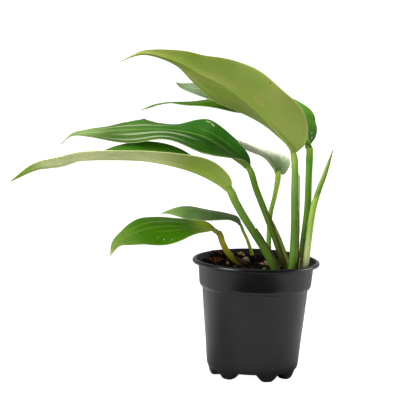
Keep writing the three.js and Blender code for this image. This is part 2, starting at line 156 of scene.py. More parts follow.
def separated(tree, label):  # the parts of the Object, UV or Generated coordinates
    coordinates = tree.nodes.new("ShaderNodeTexCoord")
    split = tree.nodes.new("ShaderNodeSeparateXYZ")
    tree.links.new(coordinates.outputs[label], split.inputs[0])
    return split.outputs


def bumped(tree, height, strength, distance):
    node = tree.nodes.new("ShaderNodeBump")
    feed(tree, node.inputs["Height"], height)
    node.inputs["Strength"].default_value = strength
    node.inputs["Distance"].default_value = distance
    return node.outputs["Normal"]


def dress(tree, shader, colour, roughness, gloss, *relief):  # relief: height, strength and distance
    for label, value in (("Base Color", colour), ("Roughness", roughness), ("Specular IOR Level", gloss)):
        feed(tree, shader.inputs[label], value)
    if relief:
        feed(tree, shader.inputs["Normal"], bumped(tree, *relief))


def freshMaterial(name):
    material = bpy.data.materials.new(name)
    material.use_nodes = True
    return material, material.node_tree, material.node_tree.nodes["Principled BSDF"]


def freshGroup(name, inputs, outputs):
    tree = bpy.data.node_groups.new(name, "ShaderNodeTree")
    for label, value in inputs.items():
        socket = tree.interface.new_socket(name=label, in_out="INPUT", socket_type="NodeSocketFloat")
        socket.default_value = value
    for label in outputs:
        tree.interface.new_socket(name=label, in_out="OUTPUT", socket_type="NodeSocketFloat")
    return tree, tree.nodes.new("NodeGroupInput"), tree.nodes.new("NodeGroupOutput")


def placed(tree, group, **values):
    node = tree.nodes.new("ShaderNodeGroup")
    node.node_tree = group
    for label, value in values.items():
        feed(tree, node.inputs[label], value)
    return node.outputs


# Shared effects

# The grid that a blade is made from crowds its columns towards the midrib by this power
columnCrowding = 1.35
streakMean = 0.45  # what the streaks fade to towards the tip


def buildLeafPattern():
    names = ["Along", "Signed", "Rib", "Vein", "Quilt", "Streak", "Edge"]
    tree, given, result = freshGroup("leafPattern", {"Veins": 11, "Sweep": 0.45, "Rib": 0.06}, names)
    split = separated(tree, "UV")
    along = split["Y"]
    centred = times(tree, minus(tree, split["X"], 0.5), 2)
    across = calc(tree, "POWER", calc(tree, "ABSOLUTE", centred), columnCrowding)
    signed = times(tree, calc(tree, "SIGN", centred), across)
    sweep = times(tree, given.outputs["Sweep"], fit(tree, along, 0.4, 1.0, 1.0, 0.15))
    swept = times(tree, calc(tree, "POWER", across, 1.15), sweep)
    wobble = times(tree, noisy(tree, packed(tree, signed, along, 0.0), 5), 0.5)
    phase = plus(tree, times(tree, minus(tree, along, swept), given.outputs["Veins"]), wobble)
    away = calc(tree, "PINGPONG", phase, 0.5)
    atTip = fit(tree, along, 0.72, 0.92, 1.0, 0.2)
    vein = times(tree, fit(tree, away, 0.0, 0.13, 1.0, 0.0), fit(tree, across, 0.35, 1.0, 1.0, 0.35))
    streakPlace = packed(tree, times(tree, phase, 1.7), times(tree, across, 0.8), signed)
    streak = minus(tree, noisy(tree, streakPlace, 2.2), streakMean)
    streak = plus(tree, times(tree, streak, fit(tree, along, 0.45, 0.85, 1.0, 0.0)), streakMean)
    fromFoot = calc(tree, "POWER", calc(tree, "SUBTRACT", 1.0, along, clamp=True), 7)
    ribWidth = times(tree, given.outputs["Rib"], plus(tree, times(tree, fromFoot, 5), 1))
    rib = fit(tree, calc(tree, "DIVIDE", across, ribWidth), 0.35, 1.0, 1.0, 0.0)
    edge = times(tree, fit(tree, across, 0.955, 0.995), atTip)
    made = [along, signed, rib, times(tree, vein, atTip), times(tree, away, 2), streak, edge]
    for label, value in zip(names, made):
        tree.links.new(value, result.inputs[label])
    return tree


# a spot serves for marks on the leaf and also for painted sheen, highlights and shade
def buildSpot():  # a round or oval mark with an uneven edge, placed on a blade
    inputs = {"Signed": 0, "Along": 0, "Side": 0, "Place": 0, "Size": 0.02, "Stretch": 1}
    tree, given, result = freshGroup("spotOnBlade", inputs, ["Mask"])
    signed, along, size = (given.outputs[label] for label in ("Signed", "Along", "Size"))
    sideways = times(tree, minus(tree, signed, given.outputs["Side"]), given.outputs["Stretch"])
    lengthways = minus(tree, along, given.outputs["Place"])
    squares = plus(tree, times(tree, sideways, sideways), times(tree, lengthways, lengthways))
    away = calc(tree, "DIVIDE", calc(tree, "SQRT", squares), size)
    finer = calc(tree, "DIVIDE", 0.4, size)
    ragged = noisy(tree, packed(tree, times(tree, signed, finer), times(tree, along, finer), 0.0), 1.5)
    mask = fit(tree, plus(tree, away, times(tree, ragged, 1.1)), 0.95, 1.35, 1.0, 0.0)
    tree.links.new(mask, result.inputs["Mask"])
    return tree


def buildBlotches():  # soft uneven patches at two scales, in Object coordinates
    tree, given, result = freshGroup("softBlotches", {"Large": 30, "Small": 160}, ["Large", "Small"])
    coordinates = tree.nodes.new("ShaderNodeTexCoord")
    for label in ("Large", "Small"):
        patches = noisy(tree, coordinates.outputs["Object"], given.outputs[label], 3)
        tree.links.new(fit(tree, patches, 0.36, 0.64), result.inputs[label])
    return tree


def buildSpecks():  # small sparse flecks, such as dust and pores
    tree, given, result = freshGroup("smallSpecks", {"Scale": 300, "Size": 0.2, "Share": 0.1}, ["Mask"])
    coordinates = tree.nodes.new("ShaderNodeTexCoord")
    cells = tree.nodes.new("ShaderNodeTexVoronoi")
    tree.links.new(coordinates.outputs["Object"], cells.inputs["Vector"])
    tree.links.new(given.outputs["Scale"], cells.inputs["Scale"])
    split = tree.nodes.new("ShaderNodeSeparateColor")
    tree.links.new(cells.outputs["Color"], split.inputs[0])
    chosen = calc(tree, "LESS_THAN", split.outputs[0], given.outputs["Share"])
    away = calc(tree, "DIVIDE", cells.outputs["Distance"], given.outputs["Size"])
    near = fit(tree, away, 0.5, 1.0, 1.0, 0.0)
    tree.links.new(times(tree, chosen, near), result.inputs["Mask"])
    return tree


leafPattern = buildLeafPattern()
spotOnBlade = buildSpot()
softBlotches = buildBlotches()
smallSpecks = buildSpecks()
print("shared effects built")


# Modelling helpers

def selectOnly(*pieces):
    bpy.ops.object.select_all(action="DESELECT")
    for piece in pieces:
        piece.select_set(True)
    bpy.context.view_layer.objects.active = pieces[0]


def added(primitive, **settings):  # a primitive, added with nothing else selected
    bpy.ops.object.select_all(action="DESELECT")
    primitive(**settings)
    return bpy.context.object


def editWhole(piece, *steps):  # each step is an operator and its settings, run on the whole mesh
    selectOnly(piece)
    bpy.ops.object.mode_set(mode="EDIT")
    for operator, settings in steps:
        bpy.ops.mesh.select_all(action="SELECT")
        operator(**settings)
    bpy.ops.object.mode_set(mode="OBJECT")


def applyModifier(piece, kind, **settings):
    modifier = piece.modifiers.new(kind.lower(), kind)
    for key, value in settings.items():
        setattr(modifier, key, value)
    selectOnly(piece)
    bpy.ops.object.modifier_apply(modifier=modifier.name)


def shapedGrid(name, columns, rows, place):  # place takes x and y from -1 to 1
    piece = added(bpy.ops.mesh.primitive_grid_add, x_subdivisions=columns, y_subdivisions=rows, size=2)
    piece.name = name
    piece.data.name = name
    for vertex in piece.data.vertices:
        vertex.co = place(vertex.co.x, vertex.co.y)
    return piece


outward = (bpy.ops.mesh.normals_make_consistent, {"inside": False})


def closeUp(piece):  # merges the seam and fills what is still open
    merge = (bpy.ops.mesh.remove_doubles, {"threshold": 0.00002})
    editWhole(piece, merge, (bpy.ops.mesh.fill_holes, {"sides": 0}), outward)


def nodeNameOf(title):  # huskByNewLeaf is the CAD node husk_by_new_leaf
    return "".join("_" + letter.lower() if letter.isupper() else letter for letter in title)


def finishPiece(piece, slotName, *nodes, angle=50):
    selectOnly(piece)
    bpy.ops.object.shade_smooth_by_angle(angle=math.radians(angle))
    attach(piece, "root")
    if nodes:
        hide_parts(*nodes)


# Paths: a smooth curve through points in millimetres, measured evenly along its length

def curvePoint(p0, p1, p2, p3, t):
    gaps = [max((b - a).length_squared ** 0.25, 1e-4) for a, b in ((p0, p1), (p1, p2), (p2, p3))]
    start = (p1 - p0) / gaps[0] - (p2 - p0) / (gaps[0] + gaps[1]) + (p2 - p1) / gaps[1]
    end = (p2 - p1) / gaps[1] - (p3 - p1) / (gaps[1] + gaps[2]) + (p3 - p2) / gaps[2]
    start, end = start * gaps[1], end * gaps[1]
    cubic = 2 * p1 - 2 * p2 + start + end
    square = -3 * p1 + 3 * p2 - 2 * start - end
    return ((cubic * t + square) * t + start) * t + p1


pathSteps = 24


def smoothPath(points):
    knots = [Vector(p) for p in points]
    knots = [2 * knots[0] - knots[1], *knots, 2 * knots[-1] - knots[-2]]
    path = []
    for i in range(len(knots) - 3):
        path += [curvePoint(*knots[i:i + 4], k / pathSteps) for k in range(pathSteps)]
    return path + [knots[-2]]


def measured(path):
    lengths = [0.0]
    for a, b in zip(path, path[1:]):
        lengths.append(lengths[-1] + (b - a).length)
    return {"points": path, "lengths": lengths, "length": lengths[-1]}


def onPath(path, share):
    target = min(max(share, 0), 1) * path["length"]
    low, high = 0, len(path["points"]) - 1
    while high - low > 1:
        middle = (low + high) // 2
        low, high = (middle, high) if path["lengths"][middle] <= target else (low, middle)
    a, b = path["points"][low], path["points"][high]
    return a.lerp(b, (target - path["lengths"][low]) / (path["lengths"][high] - path["lengths"][low]))


def alongPath(path, share):  # the point and the direction at a share of the path's length
    ahead, behind = onPath(path, share + 0.004), onPath(path, share - 0.004)
    return onPath(path, share), (ahead - behind).normalized()


def easedValue(values, share):  # runs smoothly through the values as share goes from 0 to 1
    last = len(values) - 1
    i = min(int(share * last), last - 1)
    t = share * last - i
    p0, p1, p2, p3 = values[max(i - 1, 0)], values[i], values[i + 1], values[min(i + 2, last)]
    start, end = (p2 - p0) / 2, (p3 - p1) / 2
    square = -3 * p1 + 3 * p2 - 2 * start - end
    return ((2 * p1 - 2 * p2 + start + end) * t + square) * t * t + start * t + p1


def hill(value, middle, reach):  # 1 in the middle, falling away on both sides
    return math.exp(-(((value - middle) / reach) ** 2))


def acrossOf(vector, direction):
    return (vector - direction * vector.dot(direction)).normalized()


up = Vector((0, 0, 1))
east = Vector((1, 0, 0))


# Leaves: each has its stalk's and its midrib's path, the turn of its upper side away from
# straight up, the fold of its near and far halves (all in degrees, from base to tip), the width
# and outline of one half, and its colours from base to tip. A spot is its side (-1 is the near edge)
# and place on the blade, its size, how much narrower than long it is, its tone and its share.

leaves = {
    "topLeaf": {
        "stalk": [(35.6, -17, 101), (35.6, -24, 109), (36.3, -25, 146), (35, -25, 185), (34, -25, 212)],
        "midrib": [
            (32, -25, 226), (16, -25, 246), (-9, -26, 269), (-38, -28, 290),
            (-62, -30, 301), (-83, -32, 311.5), (-117, -34, 319), (-140, -35, 310.5),
        ],
        "stalkRadius": [4.4, 4.3, 4, 3.9, 3.3],
        "turn": [65, 55, 75, 75, 80], "nearFold": [40, 10, 20, 28, 28],
        "farFold": [62, 53, 42, 37, 34, 42, 50, 48, 45],
        "nearShare": [1, 1, 1.01, 1.03, 0.975, 0.955, 0.89, 0.73, 0.6],
        "farShare": [1.08, 1.02, 1, 1.02, 1.01, 0.84, 0.62, 0.66, 0.72],
        "halfWidth": 35, "outline": (0.44, 1.5),
        "veins": 10, "sweep": 1, "belly": 0.03,
        "upper": [(0, (52, 100, 12)), (0.5, (60, 112, 20)), (1, (84, 128, 34))],
        "under": [(0, (148, 168, 82)), (0.35, (126, 146, 62)), (0.8, (112, 138, 42)),
                  (0.95, (166, 180, 90)), (1, (188, 194, 116))],
        "mottle": (150, 148, 84), "mottleShare": 0.5, "ribFade": 5, "veinShare": 0.3,
        "underSpots": [
            (-0.91, 0.313, 0.006, 0.15, (64, 70, 28), 0.9),
            (-0.79, 0.046, 0.005, 0.15, (64, 70, 28), 0.9),
            (-0.42, 0.39, 0.07, 0.3, (154, 144, 84), 0.4),
            (-0.25, 0.3, 0.06, 0.4, (154, 144, 84), 0.35),
            (-0.7, 0.43, 0.05, 0.3, (154, 144, 84), 0.35),
            # painted shade: darkens the middle of the near half
            (-0.6, 0.5, 0.42, 0.7, (106, 128, 52), 0.6),
            # painted sheen: a pale patch on the far half
            (0.75, 0.6, 0.22, 1.6, (156, 172, 116), 0.35),
        ],
        "ribTone": (136, 160, 64),
        "stalkTones": [(0, (80, 120, 30)), (0.5, (76, 118, 26)), (0.8, (108, 148, 60)),
                       (1, (146, 176, 66))],
    },
    "backLeaf": {
        "stalk": [(44, -10, 101), (45.1, -6, 108), (47, -6, 138), (49.3, -6, 169), (49.2, -6, 199),
                  (49.1, -6, 219)],
        "midrib": [
            (49, -6, 229), (46.6, -3, 240), (40.8, 8, 260), (29.4, 22, 273), (7, 35, 277),
            (-21, 48, 274.5), (-47, 58, 271), (-72, 68, 267.1), (-98, 77, 265.5), (-124, 84, 257.4),
        ],
        "stalkRadius": [4, 3.8, 3.7, 3.6, 3.8],
        "turn": [0, -8, -15, -22, -24, -15, -9, -4, -32], "nearFold": [-50, -50, -15, 0, 10],
        "farFold": [-43, -22, -5, 0, 5], "nearShare": [0.3, 0.55, 0.97, 1.03, 1.6],
        "farShare": [0.96, 0.98, 1, 0.8, 1.6], "gloss": 0.04,
        "halfWidth": 26.5, "outline": (0.48, 1.2),
        "veins": 9, "sweep": 0.9, "belly": 0.03,
        "upper": [(0, (50, 98, 10)), (0.2, (72, 122, 28)), (0.5, (34, 66, 0)), (0.7, (32, 62, 0)),
                  (0.95, (60, 92, 14)), (1, (150, 140, 70))],
        "under": [(0, (120, 148, 66)), (1, (110, 142, 40))],
        "mottle": (64, 98, 12), "mottleShare": 0.25,
        "upperSpots": [
            (0.57, 0.062, 0.014, 0.15, (196, 204, 176), 0.7),
            (0.5, 0.085, 0.01, 0.15, (196, 204, 176), 0.6),
        ],
        "ribTone": (116, 156, 40),
        "stalkTones": [(0, (30, 60, 0)), (0.25, (38, 74, 0)), (0.5, (76, 128, 4)), (0.9, (94, 148, 42)),
                       (1, (150, 180, 60))],
    },
    "middleLeaf": {
        "stalk": [(27, -15, 101), (29.4, -12, 108), (21, -11, 133), (9.1, -9, 161), (-2.2, -6, 187)],
        "midrib": [
            (-11, -4, 209), (-29.5, -6, 222), (-42.5, -8, 231), (-55, -10, 238), (-84, -14, 244.5),
            (-128, -18, 244), (-171, -22, 240), (-186, -23, 237), (-196, -24, 228),
        ],
        "stalkRadius": [4.2, 3.8, 3.5, 3.4, 3.3],
        "turn": [-15, -30, -20, -40, -25], "nearFold": [30, 0, 0, -20, 0],
        "farFold": [20, 0, -10, -10, -5],
        "halfWidth": 29.3, "outline": (0.58, 1.5),
        "farRipple": {"height": 3.4, "count": 2.8, "phase": 0.634},
        "farBumps": [(0.275, 0.045, 2.2), (0.571, 0.012, 1.2)],
        "nearShare": [1, 0.97, 1, 1.06, 1], "farShare": [1.3, 1.03, 1, 1, 1], "gloss": 0.17,
        "veins": 8, "sweep": 1, "belly": 0.05,
        "upper": [(0, (20, 76, 0)), (0.4, (26, 72, 0)), (0.7, (58, 84, 28)), (0.93, (112, 132, 70)),
                  (1, (180, 172, 100))],
        "under": [(0, (120, 146, 60)), (1, (110, 140, 60))],
        "mottle": (62, 100, 40), "mottleShare": 0.3,
        "upperSpots": [
            (0.86, 0.262, 0.02, 0.3, (150, 150, 112), 0.6),
            (0.78, 0.245, 0.012, 0.15, (176, 170, 130), 0.5),
            (0.93, 0.571, 0.014, 0.15, (30, 66, 14), 0.9),
            (0.34, 0.2, 0.24, 9, (110, 156, 50), 0.4),
            # painted sheen: this and the next two are pale grey streaks along the upper side
            (-0.4, 0.5, 0.38, 3, (160, 168, 134), 0.5),
            (-0.78, 0.55, 0.34, 3.4, (160, 168, 134), 0.45),
            (0.4, 0.62, 0.3, 4.5, (160, 168, 134), 0.5),
            (0.7, 0.6, 0.26, 7, (20, 66, 0), 0.4),
            # painted sheen: a pale grey stripe near the tip
            (-0.15, 0.86, 0.13, 3, (180, 190, 168), 0.6),
        ],
        "ribTone": (104, 148, 52),
        "stalkTones": [(0, (64, 92, 14)), (0.5, (78, 116, 12)), (0.85, (86, 130, 28)),
                       (1, (132, 168, 56))],
    },
    "rearLeaf": {
        "stalk": [(9, 1, 100), (13, 7, 110), (12.5, 10, 140), (13.4, 13, 161), (17.4, 18, 180)],
        "midrib": [(19.9, 25, 201.5), (13, 40, 213), (0, 66, 222), (-18, 95, 226), (-34, 125, 228)],
        "stalkRadius": [2.9, 2.7, 2.6, 2.5, 3.1],
        "nearShare": [0.8, 0.93, 0.95, 1, 1], "farShare": [0.75, 1.03, 1.06, 1.06, 1],
        "turn": [40, 20, 12, 12, 12], "nearFold": [0, -5, 5, 10, 10], "farFold": [0, 10, 0, 0, 0],
        "halfWidth": 27, "outline": (0.42, 1.2),
        "veins": 10, "sweep": 0.4, "belly": 0.04,
        # the pale grey from 0.32 to 0.58 is painted sheen, and painted light where the back leaf shades this
        # blade
        "upper": [(0, (84, 130, 40)), (0.12, (136, 164, 100)), (0.32, (238, 242, 218)),
                  (0.58, (228, 234, 208)),
                  (0.8, (130, 152, 100)), (1, (80, 116, 50))],
        "under": [(0, (140, 158, 100)), (1, (120, 150, 90))],
        "mottle": (176, 190, 156), "mottleShare": 0.3, "gloss": 0.5,
        "upperSpots": [
            (0.35, 0.02, 0.13, 0.5, (52, 104, 22), 0.8),
            (0.4, 0.2, 0.14, 0.5, (128, 164, 96), 0.5),
        ],
        "ribTone": (120, 160, 56),
        "stalkTones": [(0, (90, 134, 40)), (0.5, (124, 166, 48)), (0.85, (146, 182, 56)),
                       (1, (150, 178, 52))],
    },
    "upperBackLeaf": {
        "stalk": [(36, -14, 101), (37, -7, 109), (37, -5, 149), (35, -2, 189)],
        "midrib": [
            (32, 4, 225), (23, 9.2, 248), (0, 19.5, 266), (-30, 26, 278),
            (-59, 32, 283), (-74, 35, 284.6), (-83, 37, 286.6), (-86.6, 37, 289),
        ],
        "stalkRadius": [2.4, 2.4, 2.2, 1.9],
        "turn": [-50, -58, -55, -40, -35], "nearFold": [10, 5, 0, 0, 10], "farFold": [10, 5, 0, -5, 10],
        "halfWidth": 16, "outline": (0.75, 0.8), "nearShare": [0.5, 0.4, 0.5, 0.95, 1],
        "veins": 9, "sweep": 0.45, "belly": 0.04,
        "upper": [(0, (54, 82, 30)), (0.6, (44, 66, 28)), (1, (62, 74, 44))],
        "under": [(0, (140, 158, 100)), (1, (130, 156, 96))],
        "mottle": (130, 152, 112), "mottleShare": 0.3,
        "ribTone": (160, 180, 124),
        "stalkTones": [(0, (88, 128, 44)), (1, (120, 154, 66))],
    },
    "lowFrontLeaf": {
        "stalk": [(-6.6, 14, 103), (-11.8, 5, 108), (-26.4, -8, 121), (-33.6, -12, 132.5)],
        "midrib": [
            (-37.6, -14, 142.8), (-45, -18, 149.2), (-57, -22, 150.4), (-76, -27, 151), (-94, -32, 151),
            (-113, -37, 147.5), (-127, -40, 141), (-137.5, -42, 134.5), (-144, -44, 122),
        ],
        "stalkRadius": [3.3, 3.1, 3.1, 3.2],
        "turn": [-25, -20, -30, -30, -15], "nearFold": [15, 5, -20, -5, 15],
        "farFold": [-5, -5, -15, 0, 5],
        "halfWidth": 21.5, "outline": (0.78, 0.87), "gloss": 0.14,
        "nearShare": [1, 1, 1, 0.97, 0.85], "farShare": [1.3, 1.05, 1.14, 0.95, 0.8],
        "veins": 7, "sweep": 0.8, "belly": 0.05,
        "upper": [(0, (150, 152, 20)), (0.16, (142, 166, 34)), (0.3, (62, 118, 0)), (0.65, (68, 122, 2)),
                  (0.93, (122, 156, 66)), (1, (206, 180, 130))],
        "under": [(0, (140, 140, 50)), (1, (116, 140, 54))],
        "mottle": (84, 130, 40), "mottleShare": 0.35,
        "upperSpots": [
            (-0.3, 0.35, 0.36, 9, (140, 172, 60), 0.45),
            # painted sheen: a pale streak on the far half
            (0.4, 0.5, 0.34, 7, (146, 172, 90), 0.75),
            (-0.73, 0.51, 0.006, 0.15, (232, 232, 220), 0.9),
            (-0.6, 0.56, 0.005, 0.15, (232, 232, 220), 0.9),
            (-0.8, 0.44, 0.005, 0.15, (232, 232, 220), 0.8),
            (0.95, 0.14, 0.09, 0.5, (116, 72, 24), 0.6),
            (0, 1, 0.05, 0.15, (226, 196, 160), 0.9),
        ],
        "ribTone": (124, 160, 66),
        "stalkTones": [(0, (110, 116, 14)), (0.4, (144, 142, 18)), (0.8, (172, 156, 34)),
                       (1, (150, 140, 24))],
    },
    "lowBackLeaf": {
        "stalk": [(-8.2, 17, 105), (-2.5, 24, 110), (-8.3, 25, 131), (-13.4, 26, 141)],
        "midrib": [(-16, 26, 147), (-22, 28, 153.6), (-33, 32, 156.8), (-48, 36, 158.7), (-77, 44, 159.3),
                   (-98, 50, 153)],
        "stalkRadius": [2, 1.9, 1.8, 1.6],
        "turn": [0, -5, -10, -15, -10], "nearFold": [0, -10, -15, -15, 10],
        "farFold": [0, -10, -15, -10, 5],
        "halfWidth": 18.6, "outline": (0.66, 0.81),
        "nearShare": [1.1, 1.08, 1.04, 1, 1], "farShare": [1.06, 1.08, 1.08, 1.06, 1],
        "veins": 8, "sweep": 0.5, "belly": 0.04,
        "upper": [(0, (40, 76, 8)), (0.25, (40, 72, 14)), (0.6, (64, 94, 34)), (1, (104, 134, 50))],
        "under": [(0, (110, 132, 50)), (1, (100, 130, 60))],
        "mottle": (88, 110, 70), "mottleShare": 0.3,
        "ribTone": (100, 130, 66),
        "stalkTones": [(0, (166, 176, 20)), (0.6, (150, 178, 40)), (1, (86, 116, 24))],
    },
    "longLeaf": {
        "stalk": [
            (17, -14, 101), (19.6, -22, 108), (8.2, -25, 129), (-3.6, -27, 147), (-14.5, -28, 163),
            (-22.6, -29, 176.5),
        ],
        "midrib": [
            (-30, -30, 190), (-45.4, -31, 200), (-68.6, -33, 209), (-108, -36, 216), (-147, -40, 216.2),
            (-178, -44, 213.9), (-194, -46, 210.4), (-217, -48, 206), (-241, -50, 192.6),
        ],
        "stalkRadius": [4.4, 4.2, 4, 4.1, 4.1],
        "turn": [25, 5, 5, 25, 35], "nearFold": [38, 23, 17, 16, 30], "farFold": [27, 35, 30, 10, 15],
        "nearShare": [0.72, 1.07, 1.13, 0.82, 0.72], "farShare": [0.4, 1.05, 1.12, 0.97, 0.9],
        "gloss": 0.14,
        "halfWidth": 27.5, "outline": (0.41, 0.92),
        "veins": 11, "sweep": 0.6, "belly": 0.03,
        "upper": [(0, (40, 100, 0)), (0.4, (44, 108, 6)), (0.75, (50, 104, 14)), (1, (84, 120, 50))],
        "upperSpots": [
            # painted light: lightens the far half's upper side where the middle leaf shades it
            (0.6, 0.48, 0.62, 0.9, (98, 166, 40), 0.9),
        ],
        "under": [(0, (130, 156, 58)), (0.2, (140, 162, 66)), (0.36, (204, 212, 142)),
                  (0.55, (210, 216, 154)),
                  (0.8, (212, 218, 156)), (0.92, (140, 172, 64)), (1, (100, 140, 20))],
        "mottle": (150, 162, 96), "mottleShare": 0.3,
        "underSpots": [
            # painted highlights: this and the next are pale stripes along the keel
            (-0.14, 0.5, 0.4, 10, (222, 222, 186), 0.55),
            (-0.35, 0.42, 0.3, 12, (216, 218, 176), 0.4),
            (-0.6, 0.6, 0.34, 9, (150, 166, 96), 0.4),
            (0, 1, 0.014, 0.15, (64, 30, 30), 0.9),
        ],
        "ribTone": (140, 168, 74),
        "stalkTones": [(0, (66, 106, 28)), (0.5, (62, 100, 22)), (0.85, (96, 134, 42)),
                       (1, (130, 162, 66))],
    },
}

leafShape = {
    "rows": 120, "columns": 44, "thickness": 0.62, "tipHalfWidth": 0.25,
    "grooveDepth": 0.5, "grooveWidth": 1.3, "ribTip": 0.2, "footLength": 0.05, "flareLength": 0.04,
}


def leafPaths(leaf, overlap=1):  # the stalk's path, which may run on into the midrib, and the blade's
    whole = smoothPath(leaf["stalk"] + leaf["midrib"])
    joint = len(leaf["stalk"]) * pathSteps
    return measured(whole[:joint + overlap]), measured(whole[joint:])


def halfWidthAt(leaf, s):
    rise, fall = leaf["outline"]
    widest = rise / (rise + fall)
    full = leaf["halfWidth"] * (s / widest) ** rise * ((1 - s) / (1 - widest)) ** fall
    foot = leaf["stalkRadius"][-1] * max(0, 1 - s / leafShape["flareLength"])
    return max(full, foot, leafShape["tipHalfWidth"])


def bladeRow(leaf, path, s):  # all that a point on the blade needs at one share of its length
    centre, direction = alongPath(path, s)
    lifted = acrossOf(up, direction)
    across = direction.cross(lifted)
    turn = math.radians(easedValue(leaf["turn"], s))
    face = lifted * math.cos(turn) + across * math.sin(turn)
    return {
        "centre": centre, "face": face, "far": direction.cross(face), "width": halfWidthAt(leaf, s),
        "folds": [math.radians(easedValue(leaf[key], s)) for key in ("nearFold", "farFold")],
        "shares": [easedValue(leaf.get(key, [1, 1]), s) for key in ("nearShare", "farShare")],
        "rib": min(leaf["stalkRadius"][-1] * (1 - s) ** leaf.get("ribFade", 2.4) + leafShape["ribTip"],
                   0.7 * halfWidthAt(leaf, s)),
    }


def makeBlade(name, leaf, materials):
    _, path = leafPaths(leaf)
    rows = {}

    def rowAt(y):
        key = round((y + 1) / 2 * leafShape["rows"])
        if key not in rows:
            rows[key] = bladeRow(leaf, path, key / leafShape["rows"])
        return rows[key]

    def surface(x, y):
        row, s = rowAt(y), (y + 1) / 2
        side, share = (1 if x >= 0 else -1), abs(x) ** columnCrowding
        fold = row["folds"][side > 0]
        out = row["far"] * side * math.cos(fold) + row["face"] * math.sin(fold)
        normal = row["far"] * -side * math.sin(fold) + row["face"] * math.cos(fold)
        width = row["width"] * row["shares"][side > 0]
        lift = leaf["belly"] * width * 4 * share * (1 - share)
        ripple = leaf.get("farRipple")
        if side > 0 and ripple:
            wave = math.sin(math.tau * (ripple["count"] * s + ripple["phase"])) * math.sin(math.pi * s)
            lift += ripple["height"] * wave * abs(wave) ** 0.35 * share * share
        if side > 0:
            for place, reach, height in leaf.get("farBumps", []):
                lift += height * hill(s, place, reach) * share ** 3
        return at(*(row["centre"] + out * (share * width) + normal * lift))

    piece = shapedGrid(name, leafShape["columns"], leafShape["rows"], surface)
    for material in materials:
        piece.data.materials.append(material)
    flat = [vertex.co.copy() for vertex in piece.data.vertices]
    applyModifier(piece, "SOLIDIFY", thickness=leafShape["thickness"] * mm, offset=-1, material_offset=1,
                  material_offset_rim=1, use_even_offset=False)
    # the midrib stands out below, is a shallow groove above and thickens into the stalk at the foot
    perRow = leafShape["columns"] + 1
    for index, vertex in enumerate(piece.data.vertices):
        below, start = index >= len(flat), flat[index % len(flat)]
        rowIndex = (index % len(flat)) // perRow
        s, row = rowIndex / leafShape["rows"], rows[rowIndex]
        aside = (start - at(*row["centre"])).length / mm
        foot = max(0, 1 - s / leafShape["footLength"])
        if below and aside < row["rib"]:
            vertex.co -= row["face"] * row["rib"] * math.sqrt(1 - (aside / row["rib"]) ** 2) * mm
        if not below:
            groove = leafShape["grooveDepth"] * hill(aside, 0, leafShape["grooveWidth"])
            bulge = row["rib"] * math.sqrt(max(0, 1 - (aside / max(row["rib"], 0.1)) ** 2)) * foot ** 0.7
            vertex.co += row["face"] * (bulge - groove * (1 - s) * (1 - foot)) * mm
    return piece


def bladeMaterial(name, leaf, under):
    material, tree, shader = freshMaterial(name)
    ribWidth = 0.05 if under else 0.045
    pattern = placed(tree, leafPattern, Veins=leaf["veins"], Sweep=leaf["sweep"], Rib=ribWidth)
    blotches = placed(tree, softBlotches, Large=38, Small=190)
    colour = ramped(tree, pattern["Along"], leaf["under" if under else "upper"])
    patches = times(tree, blotches["Large"], leaf["mottleShare"])
    colour = mixed(tree, patches, colour, tone(*leaf["mottle"]))
    streaks = fit(tree, pattern["Streak"], 0.42, 0.62, 0.0, 0.2 if under else 0.35)
    streakTint = (0.72, 0.74, 0.5, 1) if under else (0.45, 0.55, 0.3, 1)
    colour = mixed(tree, streaks, colour, streakTint, "MULTIPLY")
    veins = times(tree, pattern["Vein"], leaf.get("veinShare", 0.16))
    for share in (veins, times(tree, pattern["Rib"], 0.3 if under else 0.5)):
        colour = mixed(tree, share, colour, tone(*leaf["ribTone"]))
    colour = mixed(tree, times(tree, pattern["Edge"], 0.4), colour, tone(206, 214, 150))
    # spots are marks on the leaf, and on some leaves painted sheen, highlights and shade
    spots = leaf.get("underSpots" if under else "upperSpots", [])
    for side, along, size, stretch, spotTone, share in spots:
        mask = placed(tree, spotOnBlade, Signed=pattern["Signed"], Along=pattern["Along"], Side=side,
                      Place=along, Size=size, Stretch=stretch)["Mask"]
        colour = mixed(tree, times(tree, mask, share), colour, tone(*spotTone))
    roughness = fit(tree, blotches["Small"], 0.0, 1.0, *((0.5, 0.6) if under else (0.38, 0.46)))
    gloss = 0.06 if under else leaf.get("gloss", 0.28)
    relief = plus(tree, times(tree, pattern["Quilt"], 0.5), times(tree, pattern["Streak"], 0.8))
    relief = plus(tree, relief, times(tree, blotches["Small"], 0.12))
    relief = times(tree, relief, fit(tree, pattern["Along"], 0.4, 0.8, 1.0, 0.0))
    dress(tree, shader, colour, roughness, gloss, relief, 0.14, 0.0004)
    return material


# Stalks and other round growth

stalkShape = {
    "sides": 28, "rows": 70, "grooveDepth": 0.16, "grooveWidth": 0.45, "into": 1.5, "overlap": 8,
    "swells": [(0.05, 0.93, 0.04), (-0.05, 0.985, 0.02)],
}


def pointRound(path, s, angle, reach, reference=east):  # beside the path, at an angle from the reference
    centre, direction = alongPath(path, s)
    first = acrossOf(reference, direction)
    second = direction.cross(first)
    return at(*(centre + first * (reach * math.cos(angle)) + second * (reach * math.sin(angle))))


def roundGrowth(name, path, radius, sides, rows, reference=east, end=1, slant=0):
    def surface(x, y):  # a slant brings its end lower on the side away from the reference
        angle = math.pi * (x + 1)
        s = end * (y + 1) / 2
        s *= 1 - slant * (0.5 - 0.5 * math.cos(angle)) * s ** 6
        return pointRound(path, s, angle, radius(s, angle), reference)

    piece = shapedGrid(name, sides, rows, surface)
    closeUp(piece)
    return piece


def nearestTurn(angle):  # how far an angle is from the reference side, in radians
    return abs((angle + math.pi) % math.tau - math.pi)


